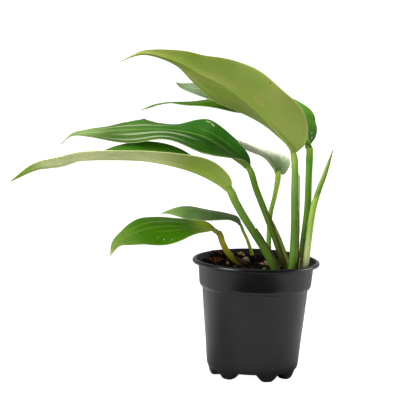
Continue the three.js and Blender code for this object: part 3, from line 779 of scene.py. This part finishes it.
def makeStalk(name, leaf):
    stalk, _ = leafPaths(leaf)
    path, _ = leafPaths(leaf, stalkShape["overlap"])
    scale = path["length"] / stalk["length"]

    def radius(s, angle):  # it swells at its joint with the blade and narrows past it
        place = min(s * scale, 1)
        groove = stalkShape["grooveDepth"] * hill(nearestTurn(angle), 0, stalkShape["grooveWidth"])
        swells = (height * hill(place, middle, reach) for height, middle, reach in stalkShape["swells"])
        return easedValue(leaf["stalkRadius"], place) * (1 - groove) * (1 + sum(swells))

    end = (stalk["length"] + stalkShape["into"]) / path["length"]
    return roundGrowth(name, path, radius, stalkShape["sides"], stalkShape["rows"], end=end)


def stalkMaterial(name, stops, dark=0.3):
    material, tree, shader = freshMaterial(name)
    split = separated(tree, "UV")
    around, along = split["X"], split["Y"]
    colour = ramped(tree, along, stops)
    fibre = noisy(tree, packed(tree, times(tree, around, 9), times(tree, along, 1.6), 0.3), 3, 3)
    blotches = placed(tree, softBlotches, Large=60, Small=420)
    colour = mixed(tree, fit(tree, fibre, 0.4, 0.62, 0.0, dark), colour, (0.6, 0.7, 0.35, 1), "MULTIPLY")
    colour = mixed(tree, times(tree, blotches["Large"], 0.1), colour, tone(150, 170, 60))
    # painted shade: darker in the groove down the stalk's side
    groove = fit(tree, calc(tree, "PINGPONG", around, 0.5), 0.03, 0.09, 0.5, 0.0)
    colour = mixed(tree, groove, colour, (0.35, 0.5, 0.22, 1), "MULTIPLY")
    pores = placed(tree, smallSpecks, Scale=700, Size=0.3, Share=0.1)["Mask"]
    colour = mixed(tree, times(tree, pores, 0.2), colour, tone(196, 200, 120))
    roughness = fit(tree, blotches["Small"], 0.0, 1.0, 0.34, 0.5)
    relief = plus(tree, fibre, times(tree, pores, 0.2))
    dress(tree, shader, colour, roughness, 0.3, relief, 0.25, 0.0004)
    return material


for title, leaf in leaves.items():
    stalkPiece = makeStalk(title + "Stalk", leaf)
    stalkPiece.data.materials.append(stalkMaterial(title + "StalkGreen", leaf["stalkTones"]))
    finishPiece(stalkPiece, "stalk", nodeNameOf(title) + "_stalk")
    sides = [bladeMaterial(title + "Upper", leaf, False), bladeMaterial(title + "Under", leaf, True)]
    finishPiece(makeBlade(title + "Blade", leaf, sides), "blade", nodeNameOf(title) + "_blade")
print("leaves and stalks made")


# New leaf: the sheath is open on one side at its top, and the furled blade stands out of it

newLeaf = {
    "sheath": [
        (45, -17, 101), (47.5, -19.5, 110), (50, -20, 134), (51.5, -20, 153), (53.6, -20, 171),
        (55.2, -20, 179), (58, -20, 190),
    ],
    "roll": [(54.6, -20, 172), (55.4, -20, 179), (57.9, -20, 188.5), (63.9, -20, 206.5), (70.9, -20, 231.5)],
    "sheathRadius": [3.6, 3.4, 3.2, 3.2, 3.1, 3.05], "rollRadius": [2.6, 2.8, 2.6, 1.8, 0.4],
    "sheathTones": [
        (0, (196, 136, 60)), (0.11, (200, 140, 66)), (0.16, (208, 202, 150)), (0.28, (190, 202, 130)),
        (0.6, (158, 186, 80)), (1, (142, 178, 60)),
    ],
    "rollTones": [(0, (66, 116, 14)), (0.25, (96, 138, 34)), (0.5, (114, 146, 46)), (1, (100, 136, 44))],
    "sheathSides": 28, "rollSides": 40, "rows": 60,
    "slant": 0.12, "slitDepth": 0.12, "slitTurn": 0.6, "slitWidth": 0.3,
    "lap": 0.16, "lapTwist": 1.6, "lapTurn": 3.4,
}


def makeNewLeaf(new):
    def sheathRadius(s, angle):  # a shallow slit runs up the side where it will open
        slit = new["slitDepth"] * hill(nearestTurn(angle - new["slitTurn"]), 0, new["slitWidth"])
        return easedValue(new["sheathRadius"], s) * (1 - slit)

    def rollRadius(s, angle):  # the outer edge of the furled blade laps over itself in a long spiral
        turned = (angle + new["lapTwist"] * s + new["lapTurn"]) % math.tau / math.tau
        return easedValue(new["rollRadius"], s) * (1 - new["lap"] * turned)

    sheathPath, rollPath = (measured(smoothPath(new[key])) for key in ("sheath", "roll"))
    sides, rows = new["sheathSides"], new["rows"]
    sheath = roundGrowth("newLeafSheath", sheathPath, sheathRadius, sides, rows, slant=new["slant"])
    roll = roundGrowth("newLeafRoll", rollPath, rollRadius, new["rollSides"], rows)
    return sheath, roll


sheathPiece, rollPiece = makeNewLeaf(newLeaf)
sheathPiece.data.materials.append(stalkMaterial("newLeafSheathPale", newLeaf["sheathTones"], 0.16))
rollPiece.data.materials.append(stalkMaterial("newLeafRollGreen", newLeaf["rollTones"], 0.2))
finishPiece(sheathPiece, "new_growth", "new_leaf_sheath")
finishPiece(rollPiece, "new_growth", "new_leaf_roll")
print("new leaf made")


# Dry sheaths and husks: strips that follow a stalk between two heights along it (mm), facing an
# angle round it (degrees from +X), with a loose outer edge

dryStrips = {
    "topLeafDrySheath": {
        "on": "topLeaf", "from": 14, "to": 108, "facing": -8, "span": 40, "lift": 0.5,
        "flare": [1.4, 0.4, 0.3, 1], "finish": "paleTip",
    },
    "middleLeafDrySheathLeft": {
        "on": "middleLeaf", "from": 14, "to": 74, "facing": -78, "span": 20, "lift": 0.3,
    },
    "middleLeafDrySheathRight": {
        "on": "middleLeaf", "from": 14, "to": 68, "facing": -30, "span": 76, "lift": 1.5,
        "flare": [1, 0.85, 0.45, 0], "spread": [1, 1, 0.7, 0.12], "finish": "green",
    },
    "longLeafDrySheath": {
        "on": "longLeaf", "from": 16, "to": 60, "facing": -10, "span": 50, "lift": 0.7,
        "flare": [1, 0.6, 0.3, 0.6],
    },
    "lowFrontLeafDrySheath": {
        "on": "lowFrontLeaf", "from": 12, "to": 34, "facing": -6, "span": 90, "lift": 1.4,
        "flare": [1, 0.7, 0.3, 0], "spread": [1, 0.9, 0.6, 0.15],
    },
    "huskByNewLeaf": {
        "on": "topLeaf", "from": 6, "to": 26, "facing": 5, "span": 80, "lift": 2.4,
        "clear": 1.6, "finish": "husk",
    },
    "huskByMiddleLeaf": {
        "on": "middleLeaf", "from": 8, "to": 22, "facing": 175, "span": 80, "lift": 1.6,
        "clear": 1, "finish": "husk",
    },
    "huskByRearLeaf": {
        "on": "rearLeaf", "from": 9, "to": 21, "facing": -100, "span": 110, "lift": 1.5,
        "clear": 1.2, "finish": "husk",
    },
}
stripShape = {
    "columns": 14, "rows": 60, "thickness": 0.5, "clear": -0.25, "crumple": 0.3, "ragged": 0.06,
    "flare": [0.5, 0.6, 0.8, 1], "spread": [1, 0.95, 0.7, 0.25], "finish": "brown",
}
dryTones = {
    "sheath": [(0, (44, 26, 18)), (0.5, (66, 42, 30)), (1, (112, 84, 58))],
    "husk": [(0, (84, 60, 44)), (0.5, (128, 98, 76)), (1, (168, 140, 112))],
    "green": [(0, (96, 112, 36)), (0.5, (122, 140, 52)), (1, (146, 158, 76))],
}


def makeStrip(name, strip):
    leaf = leaves[strip["on"]]
    path, _ = leafPaths(leaf)

    def surface(x, y):
        t, u = (y + 1) / 2, (x + 1) / 2
        ragged = noise.noise(Vector((u * 3, strip["from"], 5.5))) * strip["ragged"]
        s = (strip["from"] + (strip["to"] - strip["from"]) * t * (1 - abs(ragged))) / path["length"]
        turn = strip["span"] * (u - 0.5) * easedValue(strip["spread"], t)
        loose = strip["clear"] + strip["lift"] * easedValue(strip["flare"], t) * u * u
        crumple = 1 + noise.noise(Vector((u * 2.5, t * strip["to"] / 9, strip["facing"])))
        reach = easedValue(leaf["stalkRadius"], s) + loose + strip["crumple"] * crumple * u
        return pointRound(path, s, math.radians(strip["facing"] + turn), reach)

    piece = shapedGrid(name, strip["columns"], strip["rows"], surface)
    applyModifier(piece, "SOLIDIFY", thickness=strip["thickness"] * mm, offset=1, use_even_offset=False)
    return piece


def dryMaterial(name, stops, margin, tip=None):
    material, tree, shader = freshMaterial(name)
    split = separated(tree, "UV")
    place = packed(tree, times(tree, split["X"], 5), times(tree, split["Y"], 1.2), 0.7)
    fibre = noisy(tree, place, 4, 4, 0.65)
    colour = ramped(tree, fit(tree, fibre, 0.3, 0.7), stops)
    if tip:
        colour = mixed(tree, fit(tree, split["Y"], 0.55, 0.85), colour, tone(*tip))
    edge = fit(tree, calc(tree, "PINGPONG", split["X"], 0.5), *margin["width"], 1.0, 0.0)
    colour = mixed(tree, times(tree, edge, margin["share"]), colour, tone(*margin["tone"]))
    dress(tree, shader, colour, 0.7, 0.2, fibre, 0.6, 0.0006)
    return material


paleMargin = {"width": (0.0, 0.1), "share": 0.5, "tone": (140, 116, 80)}
brownMargin = {"width": (0.1, 0.17), "share": 1.0, "tone": (52, 28, 18)}
dryFinishes = {
    "brown": dryMaterial("drySheathBrown", dryTones["sheath"], paleMargin),
    "paleTip": dryMaterial("drySheathPaleTip", dryTones["sheath"], paleMargin, (206, 176, 124)),
    "green": dryMaterial("sheathGreenWithBrownMargin", dryTones["green"], brownMargin),
    "husk": dryMaterial("huskTan", dryTones["husk"], paleMargin),
}
for title, strip in dryStrips.items():
    strip = {**stripShape, **strip}
    stripPiece = makeStrip(title, strip)
    stripPiece.data.materials.append(dryFinishes[strip["finish"]])
    finishPiece(stripPiece, "dry_sheath", nodeNameOf(title))
print("dry sheaths made")


# Stems: the stub of the old stem, with rings where leaves have dropped, and the main stem below

oldStem = {
    "path": [(-7, 12, 94), (-8, 15, 101), (-9, 18, 108), (-9.5, 19.5, 115.6)],
    "radius": [4.5, 4.8, 5.2, 4.2], "sides": 32, "rows": 40, "ring": 0.3, "rough": 0.5, "cut": (112.5, 115.5),
}


def stemMaterial():
    material, tree, shader = freshMaterial("stemBark")
    blotches = placed(tree, softBlotches, Large=140, Small=600)
    crown = fit(tree, separated(tree, "Object")["Z"], *(height * mm for height in oldStem["cut"]))
    colour = mixed(tree, blotches["Large"], tone(88, 64, 38), tone(142, 112, 74))
    colour = mixed(tree, crown, colour, tone(214, 204, 176))
    colour = mixed(tree, times(tree, blotches["Small"], 0.4), colour, tone(84, 62, 38))
    dress(tree, shader, colour, 0.75, 0.5, blotches["Small"], 0.6, 0.0008)
    return material


stemBark = stemMaterial()


def makeOldStem(stem):
    def radius(s, angle):
        bark = noise.noise(Vector((math.cos(angle), math.sin(angle), s * 6)))
        ring = stem["ring"] * math.cos(s * 30) + stem["rough"] * bark
        crown = math.sqrt(max(0.0, 1 - max(0.0, (s - 0.8) / 0.2) ** 2))
        return (easedValue(stem["radius"], s) + ring) * max(crown, 0.05)

    return roundGrowth("oldStem", measured(smoothPath(stem["path"])), radius, stem["sides"], stem["rows"])


stemPiece = makeOldStem(oldStem)
stemPiece.data.materials.append(stemBark)
finishPiece(stemPiece, "stem", "old_stem")
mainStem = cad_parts["main_stem"]
mainStem.data.materials.clear()
mainStem.data.materials.append(stemBark)
print("stems made")


# Pot: a thermoformed nursery pot, from rings that are extruded and scaled up its profile

pot = {
    "sides": 144, "rimRadius": 63.9, "rimOpening": 59.7, "height": 116.3, "lipHeight": 4, "wall": 1.2,
    "bandTop": 57.8, "bandFoot": 56.3, "bandFootHeight": 93, "stepRadius": 53.1, "stepHeight": 87.5,
    "cornerRadius": 46.4, "cornerHeight": 14, "soleRadius": 44.4, "soleHeight": 7.7,
    "rimRound": 1.5, "backLift": 1.5,
    "soleCorner": [(0, 0), (0.9, 1.2), (1.5, 2.9)], "stepCorner": [(0, 0), (0.5, 0.9), (1.7, 1.7)],
}
# the feet's outer and inner radius and half width in degrees, each at the toe and at the sole
feet = {
    "turns": [(21, 60), (108, 145), (198, 235), (284, 321)], "outer": (42, 44.8), "inner": (33, 29),
    "spread": (6.5, 18), "cuts": 9, "into": 0.6, "cornerReach": 1.18, "swell": 0.7,
    "drainSides": 32, "drainRadius": 4, "drainDistance": 33, "drainDepth": 8, "drainTurn": 45,
}


def arcPoints(centre, radius, start, end, steps):  # points round an arc in the profile's plane
    turns = [math.radians(start + (end - start) * k / steps) for k in range(steps + 1)]
    return [(centre[0] + radius * math.cos(a), centre[1] + radius * math.sin(a)) for a in turns]


def potProfile():
    top, lip, wall, soft = pot["height"], pot["height"] - pot["lipHeight"], pot["wall"], pot["rimRound"]
    outer = [(pot["soleRadius"] + out, pot["soleHeight"] + rise) for out, rise in pot["soleCorner"]]
    outer += [(pot["cornerRadius"], pot["cornerHeight"])]
    outer += [(pot["stepRadius"] + out, pot["stepHeight"] + rise) for out, rise in pot["stepCorner"]]
    outer += [
        (pot["bandFoot"] - 0.4, pot["bandFootHeight"] - 2), (pot["bandFoot"], pot["bandFootHeight"]),
        (pot["bandTop"], lip - 1.6), (pot["bandTop"] + 0.5, lip - 0.5), (pot["bandTop"] + 1.5, lip),
    ]
    outer += arcPoints((pot["rimRadius"] - soft, lip + soft), soft, -90, 0, 6)
    outer += arcPoints((pot["rimRadius"] - soft - 0.6, top - soft - 0.6), soft + 0.6, 0, 90, 8)
    inner = arcPoints((pot["rimOpening"] + soft, top - soft), soft, 90, 180, 6)
    inner += [
        (pot["bandTop"] - wall + 0.7, lip), (pot["bandTop"] - wall, lip - 2.6),
        (pot["bandFoot"] - wall, pot["bandFootHeight"]), (pot["stepRadius"] - wall, pot["stepHeight"]),
        (pot["cornerRadius"] - wall, pot["cornerHeight"]),
        (pot["soleRadius"] - wall, pot["soleHeight"] + wall),
    ]
    return outer + inner


def fromFront(reach, turn, height):  # a point at an angle round the pot, counted from its front
    return at(reach * math.sin(turn), -reach * math.cos(turn), height)


def makeFoot(angle):
    foot = added(bpy.ops.mesh.primitive_cube_add, size=2)
    editWhole(foot, (bpy.ops.mesh.subdivide, {"number_cuts": feet["cuts"]}))
    for vertex in foot.data.vertices:  # becomes a block that follows the sole and rounds in to its toe
        x, y, z = vertex.co
        rise = (z + 1) / 2
        squareness = max(abs(x), abs(y), 1e-6)
        length = math.hypot(x, y) or 1
        x, y = (v / length * squareness * min(feet["cornerReach"], length / squareness) for v in (x, y))
        ranges, grown = (feet["outer"], feet["inner"], feet["spread"]), rise ** feet["swell"]
        outer, inner, spread = (low + (high - low) * grown for low, high in ranges)
        reach = (outer + inner) / 2 + (outer - inner) / 2 * y
        turn = math.radians(angle + spread * x)
        vertex.co = fromFront(reach, turn, rise * (pot["soleHeight"] + feet["into"]))
    editWhole(foot, outward)
    return foot


def combine(piece, other, operation):
    applyModifier(piece, "BOOLEAN", operation=operation, object=other, solver="EXACT")
    bpy.data.objects.remove(other)


def makePot():
    profile = potProfile()
    radius, height = profile[0]
    piece = added(bpy.ops.mesh.primitive_circle_add, vertices=pot["sides"], radius=radius * mm,
                  fill_type="TRIFAN", calc_uvs=False, location=at(0, 0, height))
    piece.name = "nurseryPot"
    bpy.ops.object.transform_apply(location=True, rotation=True, scale=True)
    bpy.ops.object.mode_set(mode="EDIT")
    bpy.ops.mesh.select_mode(type="EDGE")
    bpy.ops.mesh.select_all(action="DESELECT")
    bpy.ops.mesh.select_non_manifold()
    for newRadius, newHeight in profile[1:]:
        rise, growth = (newHeight - height) * mm, newRadius / radius
        bpy.ops.mesh.extrude_edges_move(TRANSFORM_OT_translate={"value": (0, 0, rise)})
        bpy.ops.transform.resize(value=(growth, growth, 1), center_override=potAxis)
        radius, height = newRadius, newHeight
    bpy.ops.mesh.edge_face_add()
    bpy.ops.mesh.select_all(action="SELECT")
    bpy.ops.mesh.normals_make_consistent(inside=False)
    bpy.ops.object.mode_set(mode="OBJECT")
    for vertex in piece.data.vertices:  # the rim has warped a little upwards at the back
        back = max(0, (vertex.co.y - potAxis.y) / mm / pot["rimRadius"])
        high = max(0, vertex.co.z / mm - pot["bandFootHeight"]) / (pot["height"] - pot["bandFootHeight"])
        vertex.co.z += pot["backLift"] * back * back * high * mm
    for pair in feet["turns"]:
        for footTurn in pair:
            combine(piece, makeFoot(footTurn), "UNION")
        turn = math.radians(sum(pair) / 2 + feet["drainTurn"])
        place = fromFront(feet["drainDistance"], turn, pot["soleHeight"])
        drain = added(bpy.ops.mesh.primitive_cylinder_add, vertices=feet["drainSides"],
                      radius=feet["drainRadius"] * mm, depth=feet["drainDepth"] * mm, location=place)
        combine(piece, drain, "DIFFERENCE")
    return piece


def potMaterial():
    material, tree, shader = freshMaterial("blackPotPlastic")
    blotches = placed(tree, softBlotches, Large=26, Small=240)
    dust = placed(tree, smallSpecks, Scale=420, Size=0.22, Share=0.05)["Mask"]
    split = separated(tree, "Object")
    height, step, lip = split["Z"], pot["stepHeight"] * mm, (pot["height"] - pot["lipHeight"]) * mm
    low = fit(tree, height, 4 * mm, 34 * mm, 1.0, 0.12)
    colour = mixed(tree, blotches["Large"], tone(5, 5, 6), tone(8, 8, 9))
    # a pale line along the step: partly dust, partly a painted highlight where light catches the ledge
    stepDustAndHighlight = times(tree, fit(tree, height, step - 0.7 * mm, step + 0.3 * mm),
                  fit(tree, height, step + 2 * mm, step + 3 * mm, 0.04, 0.0))
    colour = mixed(tree, stepDustAndHighlight, colour, tone(120, 116, 108))
    colour = mixed(tree, times(tree, dust, low), colour, tone(128, 124, 116))
    aside = minus(tree, split["X"], potAxis.x)
    back = minus(tree, split["Y"], potAxis.y)
    squares = plus(tree, times(tree, aside, aside), times(tree, back, back))
    opening = pot["rimOpening"] * mm
    inside = fit(tree, calc(tree, "SQRT", squares), opening, opening + 0.8 * mm, 1.0, 0.0)
    inside = times(tree, inside, fit(tree, height, lip - 1.8 * mm, lip - 1.1 * mm))
    colour = mixed(tree, inside, colour, tone(7, 6, 5))
    dress(tree, shader, colour, fit(tree, inside, 0.0, 1.0, 0.26, 0.75), 0.6)
    return material


potPiece = makePot()
potPiece.data.materials.append(potMaterial())
finishPiece(potPiece, "pot", "pot", angle=38)
print("pot made")


# Soil: an uneven surface with a solid body below it, and loose crumbs and bark chips on top

soil = {
    "level": 109.6, "gap": 0.3, "columns": 180, "topRows": 70, "sideRows": 12, "seed": 11,
    "slope": 0.045, "heapPlace": (-34, 34), "heapHeight": 2.6, "heapSpread": 700, "grain": 0.9,
}
# loose bits on the soil, as heaps: the kind of bit and how many, the heap's middle and spread in mm
# from the pot's axis, the bits' sizes, how high they are piled in the middle, and their tones
soilTones = [(9, 8, 5), (13, 11, 7), (20, 15, 9), (32, 23, 13), (58, 40, 23)]
heaps = [
    ("crumb", 560, (0, 0), (53, 53), (0.45, 1.5), 0, soilTones),
    ("chip", 30, (0, 0), (52, 52), (1, 2.4), 0, soilTones),
    ("chip", 12, (0, 5), (50, 46), (0.8, 1.6), 0, [(120, 92, 60), (150, 124, 86)]),
    ("fibre", 30, (0, 0), (50, 50), (0.8, 1.6), 0, [(60, 42, 26), (96, 74, 48)]),
    ("crumb", 44, (-38, 13), (11, 10), (0.9, 2.4), 1.2,
     [(112, 66, 30), (84, 48, 22), (140, 92, 48), (44, 28, 14)]),
    ("crumb", 3, (-29, 3), (2, 1.5), (1.4, 1.8), 1, [(196, 160, 100)]),
    ("chip", 12, (-37, 42), (9, 5), (2, 3.6), 2, [(132, 102, 82), (104, 76, 58), (80, 58, 44)]),
    ("chip", 3, (-14, 45), (2.5, 1), (2.4, 3), 2.2, [(190, 166, 124), (168, 140, 100)]),
    ("crumb", 3, (-4, 20), (2, 1), (4, 5.4), -1, [(16, 12, 7)]),
    ("chip", 5, (-4, 19), (4, 2), (1.4, 2.2), 3.8, [(72, 40, 26), (52, 30, 20)]),
    ("fibre", 4, (4, 46), (4, 3), (1.6, 2.4), 2, [(96, 72, 48)]),
    ("chip", 7, (9, 8), (3.5, 8), (1.4, 2.4), 1.6, [(124, 70, 48), (150, 108, 76), (186, 158, 120)]),
    ("crumb", 2, (8, -14), (1, 0.8), (1.6, 2), 0.8, [(104, 128, 36)]),
    ("chip", 4, (24, 20), (2.5, 6), (2, 3), 1.8, [(150, 116, 78), (120, 84, 54)]),
]


def soilHeight(x, y):
    away = (x - soil["heapPlace"][0]) ** 2 + (y - soil["heapPlace"][1]) ** 2
    heap = soil["heapHeight"] * math.exp(-away / soil["heapSpread"])
    broad = 0.8 * math.sin(x / 7.5 + 1.1) * math.cos(y / 6.5)
    fine = 0.6 * math.sin((x + 2 * y) / 5 + 0.4) * math.sin((2 * x - y) / 6.5)
    grain = noise.fractal(Vector((x / 3.2, y / 3.2, 1.7)), 0.8, 2.2, 4)
    return soil["level"] + soil["slope"] * y + heap + broad + fine + soil["grain"] * grain


def soilSides():  # the body's radius and height from its top edge down to the middle of its bottom
    inset = pot["wall"] + soil["gap"]
    bottom = pot["soleHeight"] + inset
    edges = [(pot["bandFoot"] - inset, pot["bandFootHeight"])]
    edges += [(pot[part + "Radius"] - inset, pot[part + "Height"]) for part in ("step", "corner")]
    return edges + [(pot["soleRadius"] - inset, bottom), (0, bottom)]


def makeSoil():
    sides = soilSides()
    topRadius = pot["bandFoot"] - pot["wall"] - soil["gap"] + (pot["bandTop"] - pot["bandFoot"]) * 0.9
    rows = soil["topRows"] + soil["sideRows"]

    def surface(x, y):
        row = round((y + 1) / 2 * rows)
        turn = math.pi * (x + 1)
        if row <= soil["topRows"]:
            reach = topRadius * row / soil["topRows"]
            px, py = reach * math.cos(turn), reach * math.sin(turn)
            return at(px, py, soilHeight(px, py))
        step = (row - soil["topRows"]) / soil["sideRows"] * len(sides)
        i = min(math.ceil(step) - 1, len(sides) - 1)
        startEdge = (topRadius, soilHeight(topRadius * math.cos(turn), topRadius * math.sin(turn)))
        a, b = (sides[i - 1] if i else startEdge), sides[i]
        t = step - i
        reach, height = a[0] + (b[0] - a[0]) * t, a[1] + (b[1] - a[1]) * t
        return at(reach * math.cos(turn), reach * math.sin(turn), height)

    piece = shapedGrid("pottingSoil", soil["columns"], rows, surface)
    closeUp(piece)
    return piece


def crumbTemplate():
    crumb = added(bpy.ops.mesh.primitive_ico_sphere_add, subdivisions=2, radius=1)
    for vertex in crumb.data.vertices:
        vertex.co *= 1 + 0.55 * noise.noise(vertex.co * 1.7 + Vector((2.7, 0, 0)))
    return crumb


def chipTemplate():
    chip = added(bpy.ops.mesh.primitive_cube_add, size=2)
    editWhole(chip, (bpy.ops.mesh.subdivide, {"number_cuts": 2}))
    for vertex in chip.data.vertices:
        x, y, z = vertex.co
        taper = 1 - 0.35 * abs(x)
        wobble = 1 + 0.3 * noise.noise(vertex.co * 2.3)
        vertex.co = (x * wobble, y * taper * wobble, z * 0.45 * taper)
    return chip


def fibreTemplate():
    path = measured(smoothPath([(-3, 0, 0), (-1, 0.8, 0.5), (1, -0.4, 0.8), (3, 0.5, 0.1)]))
    piece = roundGrowth("fibreTemplate", path, lambda s, angle: 0.16 * (1 - 0.6 * s), 5, 8, reference=up)
    for vertex in piece.data.vertices:
        vertex.co = (vertex.co - potAxis) / mm
    return piece


def scatterBits():  # each bit is a copy of a template with its own mesh, size, turn and tone
    draw = random.Random(soil["seed"])
    templates = {"crumb": crumbTemplate(), "chip": chipTemplate(), "fibre": fibreTemplate()}
    bits = []
    for kind, count, middle, spread, (low, high), rise, tones in heaps:
        for _ in range(count):
            size = low + (high - low) * draw.random() ** 2.2
            turn, reach = draw.uniform(0, math.tau), math.sqrt(draw.random())
            x = middle[0] + spread[0] * reach * math.cos(turn)
            y = middle[1] + spread[1] * reach * math.sin(turn)
            spin = Matrix.Rotation(draw.uniform(0, math.tau), 4, "Z")
            spin = spin @ Matrix.Rotation(draw.uniform(-0.7, 0.7), 4, "X")
            spin = spin @ Matrix.Rotation(draw.uniform(-0.5, 0.5), 4, "Y")
            bit = bpy.data.objects.new("soilBit", templates[kind].data.copy())
            bpy.context.scene.collection.objects.link(bit)
            place = at(x, y, soilHeight(x, y) + 0.25 * size + rise * (1 - reach))
            bit.data.transform(Matrix.Translation(place) @ spin @ Matrix.Diagonal((size * mm,) * 3 + (1,)))
            shade = bit.data.attributes.new("tint", "FLOAT_COLOR", "POINT")
            shade.data.foreach_set("color", tone(*draw.choice(tones)) * len(bit.data.vertices))
            bits.append(bit)
    selectOnly(*bits)
    bpy.ops.object.join()
    for template in templates.values():
        bpy.data.objects.remove(template)
    bits[0].name = "soilBits"
    return bits[0]


def soilMaterial():
    material, tree, shader = freshMaterial("darkPottingSoil")
    blotches = placed(tree, softBlotches, Large=120, Small=700)
    colour = mixed(tree, blotches["Large"], tone(7, 6, 4), tone(16, 13, 8))
    colour = mixed(tree, times(tree, blotches["Small"], 0.35), colour, tone(36, 28, 16))
    dress(tree, shader, colour, 0.95, 0.08, blotches["Small"], 0.9, 0.0012)
    return material


def bitMaterial():
    material, tree, shader = freshMaterial("soilCrumbs")
    shade = tree.nodes.new("ShaderNodeAttribute")
    shade.attribute_name = "tint"
    blotches = placed(tree, softBlotches, Large=300, Small=1200)
    colour = mixed(tree, times(tree, blotches["Small"], 0.4), shade.outputs["Color"], tone(24, 17, 10))
    dress(tree, shader, colour, 0.9, 0.12, blotches["Small"], 0.6, 0.0008)
    return material


soilPiece = makeSoil()
soilPiece.data.materials.append(soilMaterial())
finishPiece(soilPiece, "soil", "soil", angle=60)
bitsPiece = scatterBits()
bitsPiece.data.materials.append(bitMaterial())
finishPiece(bitsPiece, "soil")
print("soil made")


# Floor and lights

studio = {
    "floorSize": (0.9, 0.38), "floorGrey": 0.4, "aim": (-30, 0, 150),
    "backdrop": 0.45, "above": 0.16, "front": 0.05, "seen": 1.3,
    "lamps": [
        {"name": "topLamp", "place": (-170, 40, 1350), "size": 0.7, "power": 27, "hidden": "glossy"},
        {"name": "sheenLamp", "place": (-170, 40, 1350), "size": 0.7, "power": 8, "hidden": "diffuse"},
        {"name": "leftLamp", "place": (-1200, -900, 700), "size": 0.9, "power": 20},
        {"name": "frontLamp", "place": (-100, -1300, -150), "size": 0.9, "power": 8.2, "hidden": "glossy"},
        {"name": "rightLamp", "place": (1400, 300, 400), "size": 1, "power": 8},
    ],
}


def makeStage():
    floor = added(bpy.ops.mesh.primitive_plane_add, size=1, location=(potAxis.x, 0, 0))
    bpy.ops.transform.resize(value=(*studio["floorSize"], 1))
    bpy.ops.object.transform_apply(location=True, rotation=True, scale=True)
    floor.name = "floor"
    material, tree, shader = freshMaterial("paleFloor")
    dress(tree, shader, (*[studio["floorGrey"]] * 3, 1), 0.8, 0.1)
    shader.inputs["Emission Color"].default_value = (1, 1, 1, 1)
    rays = tree.nodes.new("ShaderNodeLightPath")
    tree.links.new(rays.outputs["Is Camera Ray"], shader.inputs["Emission Strength"])
    floor.data.materials.append(material)


def makeWorld():  # a white backdrop behind, a dim ceiling, and a dark room on the camera's side
    world = bpy.data.worlds.new("studioWorld")
    bpy.context.scene.world = world
    world.use_nodes = True
    tree = world.node_tree
    background = tree.nodes["Background"]
    split = separated(tree, "Generated")
    upper = fit(tree, split["Z"], 0.25, 0.6, studio["backdrop"], studio["above"])
    strength = fit(tree, split["Y"], -0.9, -0.12, studio["front"], upper)
    rays = tree.nodes.new("ShaderNodeLightPath")
    strength = fit(tree, rays.outputs["Is Camera Ray"], 0.0, 1.0, strength, studio["seen"])
    feed(tree, background.inputs["Strength"], strength)
    background.inputs["Color"].default_value = (1, 1, 1, 1)


def makeLamps():
    for lamp in studio["lamps"]:
        light = added(bpy.ops.object.light_add, type="AREA", location=at(*lamp["place"]))
        light.name = lamp["name"]
        light.data.shape = "DISK"
        light.data.size = lamp["size"]
        light.data.energy = lamp["power"]
        if "hidden" in lamp:
            setattr(light, "visible_" + lamp["hidden"], False)
        aim = at(*studio["aim"]) - light.location
        light.rotation_euler = aim.to_track_quat("-Z", "Y").to_euler()


makeStage()
makeWorld()
makeLamps()
bpy.context.scene.view_settings.view_transform = "Standard"
print("stage made")
